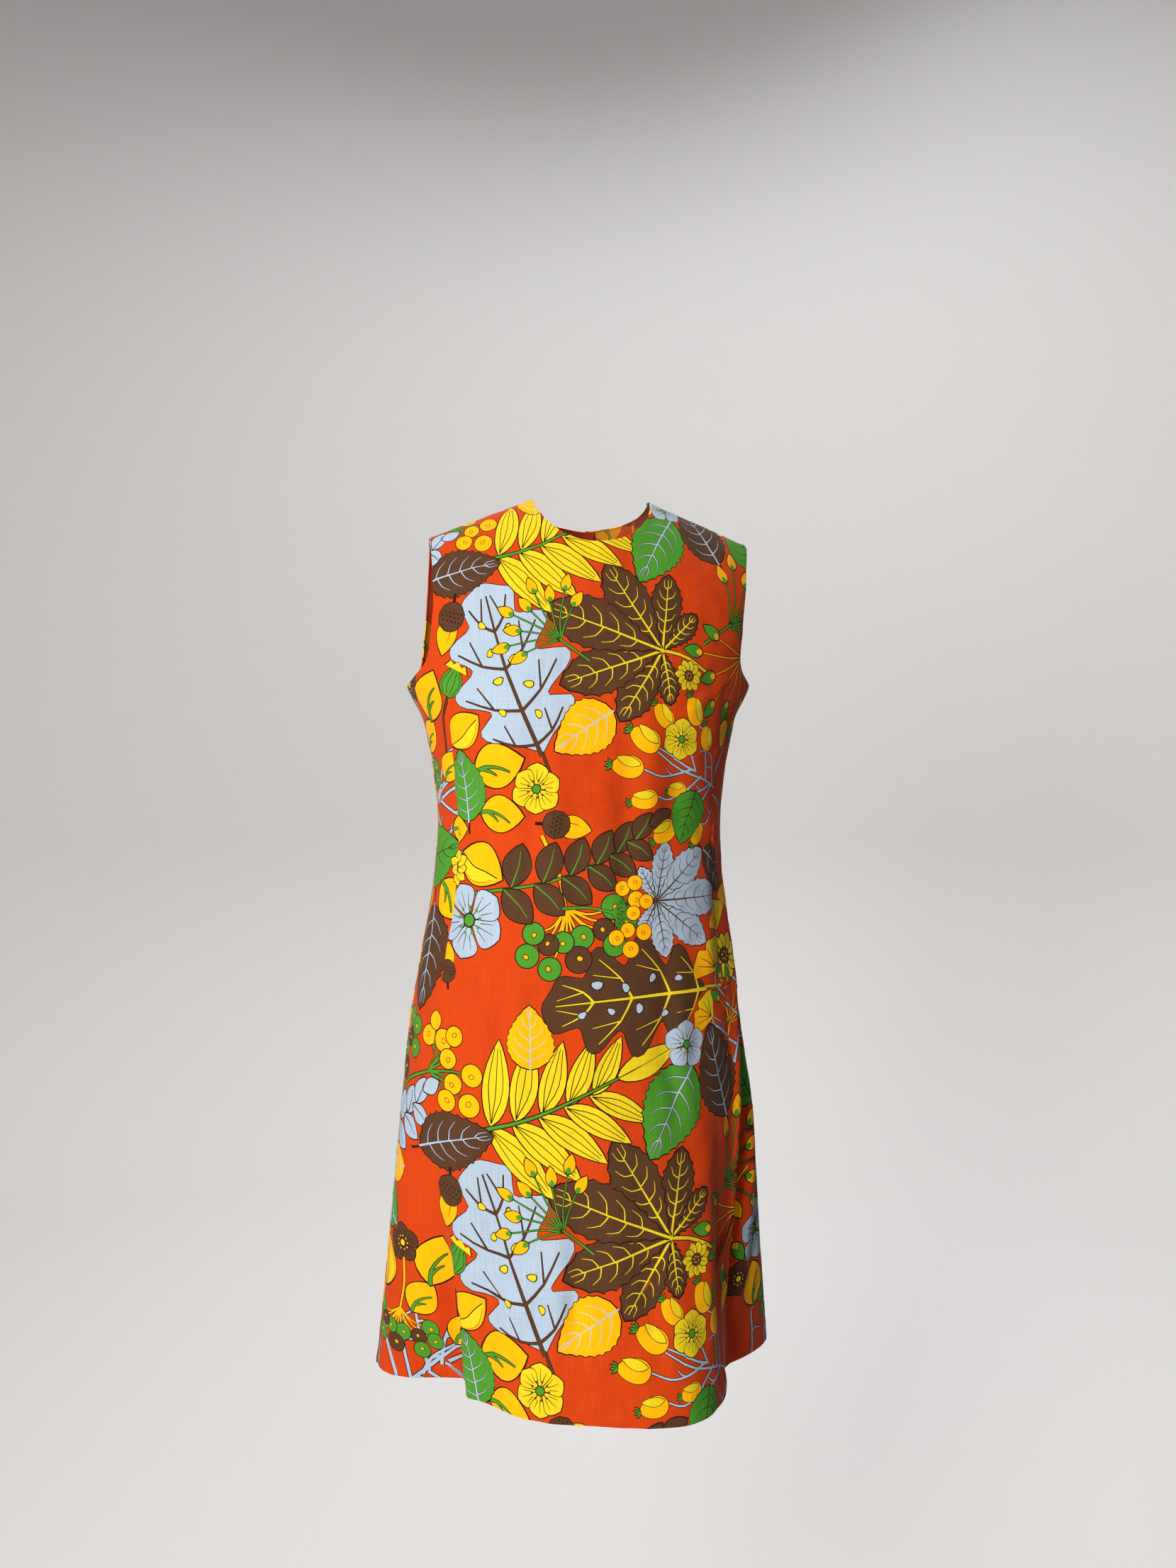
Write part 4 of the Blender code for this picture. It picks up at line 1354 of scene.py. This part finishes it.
# height, degrees from the centre front, what the dart takes in across both its sides in mm
DARTS = np.array((
    (-0.205, 63.5, 0.0),
    (-0.260, 65.0, 7.0),
    (-0.345, 66.0, 16.0),
    (-0.430, 66.0, 13.0),
    (-0.520, 66.0, 6.0),
    (-0.600, 66.5, 0.0),
))
DART_POINTS = 90
DART_TIP = 12
FRONT_FOLDS = (
    (179, 250, 540, 5, 4.6, 1.5, 3),
    (196, 225, 500, 8, -6.5, 2.2, 4),
    (222, 190, 400, 7, 3.2, 3.5, -2),
    (243, 215, 360, 6, -3.0, 4, 2),
    (268, 160, 260, 8, 2.0, 5, 2),
    (-147, 80, 220, 6, 3.6, -5, 3),
    (-163, 70, 230, 8, -5.4, -4, 4),
    (-190, 90, 200, 10, 2.4, -3, -2),
    (-58, 575, 200, 9, -3.2, 4, 3),
    (-18, 540, 240, 11, -2.3, -2, 4),
    (34, 560, 220, 8, -3.1, 2, -3),
    (82, 600, 190, 10, -3.0, -6, 3),
    (58, 585, 170, 9, 1.6, -3, 3),
    (-104, 540, 70, 6, -1.9, 66, 2),
    (112, 552, 64, 6, -1.9, -70, 2),
    (-150, 470, 150, 9, -2.2, -8, 4),
    (158, 455, 170, 9, -2.6, 7, -4),
    (136, 470, 170, 8, 1.6, 6, -4),
    (-74, 345, 190, 8, 2.5, 2, 4),
    (-92, 330, 170, 7, -2.0, 3, 4),
    (78, 360, 210, 8, -3.2, -2, -4),
    (96, 345, 180, 8, 2.0, -3, -3),
    (-38, 150, 170, 8, 3.2, 2, 3),
    (-22, 120, 150, 7, -2.7, 1, 3),
    (14, 215, 260, 14, 2.0, -1, 5),
    (52, 130, 210, 10, -3.4, -3, -4),
    (118, 170, 260, 12, 3.4, -2, 3),
    (140, 120, 200, 9, -3.4, -1, 3),
    (-104, 150, 230, 10, -3.0, 4, 4),
    (-64, 92, 44, 6, -2.1, 20, 0),
    (-20, 98, 40, 6, -2.0, -28, 0),
    (-92, 114, 36, 6, -1.7, 40, 0),
    (30, 70, 50, 7, -1.7, 34, 2),
    (-126, 690, 74, 7, -2.6, -50, 2),
    (-112, 672, 60, 6, 1.5, -46, 2),
    (128, 700, 78, 7, -2.6, 52, 2),
    (112, 680, 60, 6, 1.5, 47, 2),
    (-40, 800, 90, 11, -1.3, 12, 2),
    (52, 815, 90, 11, -1.5, -14, 2),
)

front_panel = cut_panel(FRONT_COLUMNS, False, 0, COLUMNS * FINE_COLUMNS)


def dart_places():
    """Height, angle and intake at even points down a dart."""
    places = np.linspace(0, len(DARTS) - 1, DART_POINTS)
    return [np.interp(places, np.arange(len(DARTS)), column) for column in DARTS.T]


def dart_line(sign):
    """One dart's seam on the flat front, from its upper tip to its lower one."""
    grid = front_panel.flat.reshape(-1, len(FRONT_COLUMNS), 2)
    height, angle, _ = dart_places()
    row = (height - HEM) / (UNDERARM - HEM) * SKIRT_ROWS * FINE_SKIRT_ROWS
    column = (1 + sign * angle / SIDE_SEAM_ANGLE) * COLUMNS * FINE_COLUMNS
    r, c = row.astype(int), column.astype(int)
    s, t = (row - r)[:, None], (column - c)[:, None]
    low = grid[r, c] * (1 - t) + grid[r, c + 1] * t
    return low * (1 - s) + (grid[r + 1, c] * (1 - t) + grid[r + 1, c + 1] * t) * s


dart_lines = {sign: dart_line(sign) for sign in (-1, 1)}
dart_intakes = dart_places()[2]


def dart_across(line, y):
    """How far from the middle a dart's seam lies at each height on the flat front."""
    return np.interp(y, line[::-1, 1], line[::-1, 0])


def dart_zone(points):
    """-1 or 1 beyond a dart's seam, and 0 between the two."""
    zone = np.zeros(len(points), int)
    for sign, line in dart_lines.items():
        zone[sign * points[:, 0] > sign * dart_across(line, points[:, 1])] = sign
    return zone


def dart_depth(points):
    """The seam line of each dart and the small dimples at its tips, in millimetres."""
    out = np.zeros(len(points))
    for sign, line in dart_lines.items():
        off = sign * (points[:, 0] - dart_across(line, points[:, 1]))
        top, bottom = line[0], line[-1]
        rise, fall = points[:, 1] - bottom[1], top[1] - points[:, 1]
        along = np.clip(rise / DART_TIP, 0, 1) * np.clip(fall / DART_TIP, 0, 1)
        pucker = 0.6 + 0.4 * np.sin(points[:, 1] / 7.5 + 2 * np.sin(points[:, 1] / 31))
        out -= along * 0.8 * np.exp(-((off / 1.3) ** 2))
        out -= along * 0.5 * pucker * np.exp(-((off / 7.0) ** 2))
        out += along * 0.35 * np.exp(-(((off - 6.0) / 3.0) ** 2))
        for tip in (top, bottom):
            gap = points - tip
            out -= 0.7 * np.exp(-((gap[:, 0] / 6) ** 2) - ((gap[:, 1] / 11) ** 2))
    return out


def darted(shapes):
    """The print on the front, with each side moved in by what its dart takes."""
    moved = []
    reach = np.abs([line[:, 0] for line in dart_lines.values()])
    for sign in (-1, 0, 1):
        for ink, shape, _ in shapes:
            if sign and (sign * shape[:, 0]).max() < reach.min() - 2:
                continue
            if not sign and np.abs(shape[:, 0]).min() > reach.max() + 2:
                continue
            if sign:
                line = dart_lines[sign][::-1]
                intake = np.interp(shape[:, 1], line[:, 1], dart_intakes[::-1], left=0, right=0)
                shape = shape - np.stack([sign * intake, np.zeros(len(shape))], 1)
            moved.append((ink, shape, sign))
    return moved


front = sew_panel(
    "front_panel", front_panel, darted(print_over(front_panel, *FRONT_PRINT_AT)), FRONT_FOLDS,
    dart_lines.values(), dart_depth, dart_zone,
)
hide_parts("front")
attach(front, "dress")
flat, area = flat_size(front_panel)

# ---------------------------------------------------------------------------
# The two backs: cut as a pair from the same printed linen, sewn together below the zip and to
# the front at the sides and shoulders.

BACK_COLUMNS = np.arange(COLUMNS * FINE_COLUMNS + 1) / FINE_COLUMNS
LEFT_BACK_FOLDS = (
    (-62, 500, 240, 11, -2.6, 3, 4),
    (-34, 470, 180, 9, -1.8, 1, 3),
    (-96, 480, 170, 10, -2.0, 6, -3),
    (-46, 200, 330, 13, 2.4, -2, 4),
    (-74, 170, 260, 10, -2.6, 1, 3),
    (-112, 230, 300, 14, 2.6, 3, -4),
    (-146, 170, 250, 10, -2.6, 4, 3),
    (-186, 210, 300, 10, 2.2, 6, 2),
    (-222, 160, 260, 9, -2.4, 8, 2),
    (-90, 560, 84, 7, -1.9, 66, 2),
    (-62, 640, 92, 7, -1.8, 74, 3),
    (-112, 700, 96, 8, -2.0, 48, 2),
    (-92, 742, 76, 7, 1.1, 52, 2),
    (-30, 84, 110, 8, -1.7, 6, 2),
    (-132, 60, 90, 8, -1.9, 12, 2),
)
RIGHT_BACK_FOLDS = (
    (58, 490, 250, 10, -2.7, -3, 4),
    (30, 455, 170, 9, -1.7, -1, 3),
    (90, 500, 180, 10, -2.1, -6, -3),
    (44, 215, 300, 13, 2.3, 2, -4),
    (72, 150, 270, 10, -2.4, -1, 3),
    (116, 215, 310, 14, 2.7, -2, 4),
    (152, 150, 240, 10, -2.7, -3, 3),
    (190, 200, 290, 10, 2.1, -6, 2),
    (224, 150, 260, 9, -2.2, -8, 2),
    (96, 550, 80, 7, -1.8, -68, 2),
    (60, 655, 88, 7, -1.9, -70, 3),
    (116, 690, 96, 8, -2.0, -50, 2),
    (98, 735, 70, 7, 1.0, -54, 2),
    (88, 92, 100, 8, -1.8, -8, 2),
    (140, 70, 80, 8, -1.6, -14, 2),
)

for node, columns, turn, middle, print_at, folds in (
    ("back_left", BACK_COLUMNS[::-1], 1, len(BACK_COLUMNS) - 1, (-335.0, -250.0), LEFT_BACK_FOLDS),
    ("back_right", BACK_COLUMNS, -1, 0, (-120.0, -395.0), RIGHT_BACK_FOLDS),
):
    panel = cut_panel(columns, True, turn, middle)
    back = sew_panel(f"{node}_panel", panel, print_over(panel, *print_at), folds)
    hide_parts(node)
    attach(back, "dress")
    flat, area = flat_size(panel)

# ---------------------------------------------------------------------------
# The zip: two woven tapes sewn behind the back edges, brass teeth that close between them, and
# a brass slider whose pull hangs down on the cloth.

TOOTH_PITCH = 0.0016
TOOTH_SIZE = (0.0027, 0.0010, 0.0013)
TOOTH_OFFSET = 0.00085
TOOTH_SINK = 0.0004
TOOTH_TIP = 0.72
TOOTH_BEVEL = 0.00018
CHAIN_TOP = -0.0235
TAPE_RIB = 0.0009
TAPE_CORD = 0.0007

tape_cloth, shader, start = new_finish(
    "zip tape", Roughness=0.8, Sheen_Weight=0.1, Specular_IOR_Level=0.25
)
place = start.node("ShaderNodeTexCoord", None, None, "Object")
rows = place.node("ShaderNodeSeparateXYZ", None, {0: place})
ribs = (rows.of(2) * (math.tau / TAPE_RIB)).sine() * 0.5 + (rows * (math.tau / TAPE_CORD)).sine() * 0.5
start.bright((0.50, 0.060, 0.022, 1.0), 0.92 + ribs * 0.08).feed(shader, "Base Color")
bump = start.node("ShaderNodeBump", None, {"Strength": 0.5, "Distance": 0.0002, "Height": ribs})
bump.feed(shader, "Normal")

brass, shader, start = new_finish("zip brass", Metallic=1.0)
place = start.node("ShaderNodeTexCoord", None, None, "Object")
worn = start.node("ShaderNodeTexNoise", None, {"Vector": place, "Scale": 420.0, "Detail": 3.0})
start.mix(worn, (0.60, 0.46, 0.22, 1.0), (0.40, 0.29, 0.13, 1.0)).feed(shader, "Base Color")
(0.24 + worn * 0.26).feed(shader, "Roughness")


def modelled(name, shape, material):
    """A piece with the shape modelled in a bmesh, all of one material."""
    mesh = bpy.data.meshes.new(name)
    shape.to_mesh(mesh)
    shape.free()
    mesh.materials.append(material)
    piece = bpy.data.objects.new(name, mesh)
    bpy.context.scene.collection.objects.link(piece)
    return piece


teeth = bmesh.new()
chain_bottom = HEM + (UNDERARM - HEM) * ZIP_END_ROW / SKIRT_ROWS
heights = np.arange(chain_bottom + 0.001, CHAIN_TOP, TOOTH_PITCH / 2)
middle = np.full_like(heights, 180.0)
outward, right, up = cloth_frame(middle, heights)
points = cloth_point(middle, heights)
for k in range(len(heights)):
    side = 1 if k % 2 else -1
    turn = Matrix((right[k], up[k], outward[k])).transposed().to_4x4()
    turn.translation = Vector(points[k] - outward[k] * TOOTH_SINK + right[k] * side * TOOTH_OFFSET)
    shape = turn @ Matrix.Diagonal((*TOOTH_SIZE, 1.0))
    made = bmesh.ops.create_cube(teeth, size=1.0, matrix=shape)["verts"]
    tip = [v for v in made if (turn.inverted() @ v.co).x * side < 0]
    bmesh.ops.scale(teeth, vec=(1, TOOTH_TIP, 1), space=turn.inverted(), verts=tip)
bmesh.ops.bevel(
    teeth, geom=teeth.edges[:], offset=TOOTH_BEVEL, segments=1, profile=0.5, affect="EDGES", material=-1
)
zip_teeth = modelled("zip_teeth", teeth, brass)
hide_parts("zip_chain")
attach(zip_teeth, "dress")

for node, material in (("zip_tape", tape_cloth), ("zip_slider", brass), ("zip_pull", brass)):
    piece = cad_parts[node]
    piece.data.materials.clear()
    piece.data.materials.append(material)

# ---------------------------------------------------------------------------
# The studio: a pale sweep of floor and wall, soft daylight from the wearer's right, and the
# camera just above the height of the waist.

FLOOR = -1.75
ROOM = 4.4
COVE = 1.2
WALL_TOP = 5.0
LAMP_SPREAD = 130

paper, shader, start = new_finish("pale paper", Roughness=0.95, Specular_IOR_Level=0.1)
shader.inputs["Base Color"].default_value = (0.78, 0.765, 0.75, 1.0)
room = bmesh.new()
turns = np.radians(np.linspace(0, 90, 13))
bend = [(ROOM - COVE + COVE * math.sin(t), FLOOR + COVE * (1 - math.cos(t))) for t in turns]
profile = [(0.001, FLOOR), *bend, (ROOM, WALL_TOP)]
made = [room.verts.new((x, 0, z)) for x, z in profile]
edges = [room.edges.new(pair) for pair in zip(made, made[1:])]
bmesh.ops.spin(
    room, geom=made + edges, cent=(0, 0, 0), axis=(0, 0, 1), angle=math.tau, steps=96, use_merge=True
)
backdrop = modelled("backdrop", room, paper)
backdrop.data.shade_smooth()


def softbox(name, place, target, size, power, colour):
    """A gridded lamp, so that its light fades out well before its own plane."""
    light = bpy.data.lights.new(name, "AREA")
    light.shape = "RECTANGLE"
    light.size, light.size_y = size
    light.energy, light.color = power, colour
    light.spread = math.radians(LAMP_SPREAD)
    lamp = bpy.data.objects.new(name, light)
    lamp.location = place
    lamp.rotation_euler = (Vector(target) - Vector(place)).to_track_quat("-Z", "Y").to_euler()
    bpy.context.scene.collection.objects.link(lamp)


softbox("window", (-1.35, -2.2, 0.30), (0, 0, -0.45), (0.8, 1.8), 38.5, (1.0, 0.985, 0.955))
softbox("overhead", (0.6, 2.1, 3.9), (0.6, 2.101, -1), (3.2, 2.2), 72, (0.97, 0.98, 1.0))

# A dark felt screen beside the wearer's left, out of shot, keeps that side's light low
felt, shader, start = new_finish("dark felt", Roughness=1.0, Specular_IOR_Level=0.0)
shader.inputs["Base Color"].default_value = (0.03, 0.02, 0.016, 1.0)
screen = bmesh.new()
stand = Matrix.Rotation(math.radians(70), 4, "Z") @ Matrix.Rotation(math.radians(90), 4, "X")
place = Matrix.Translation((0.84, -0.15, -0.6)) @ stand @ Matrix.Diagonal((0.62, 1.0, 1.0, 1.0))
bmesh.ops.create_grid(screen, x_segments=1, y_segments=1, size=1.0, matrix=place)
felt_screen = modelled("felt_screen", screen, felt)
felt_screen.visible_camera = False

world = bpy.data.worlds.new("pale room")
world.use_nodes = True
background = world.node_tree.nodes["Background"]
background.inputs["Color"].default_value = (0.80, 0.82, 0.86, 1.0)
background.inputs["Strength"].default_value = 0.32
bpy.context.scene.world = world
bpy.context.scene.view_settings.view_transform = "Standard"
bpy.context.scene.view_settings.look = "Medium High Contrast"

camera = bpy.data.objects.new("camera", bpy.data.cameras.new("camera"))
camera.data.lens = 27.03
camera.data.sensor_width = 36.0
camera.location = (-0.1537, -1.2365, -0.2986)
camera.rotation_euler = (math.radians(90), 0, math.radians(-7))
bpy.context.scene.collection.objects.link(camera)
bpy.context.scene.camera = camera
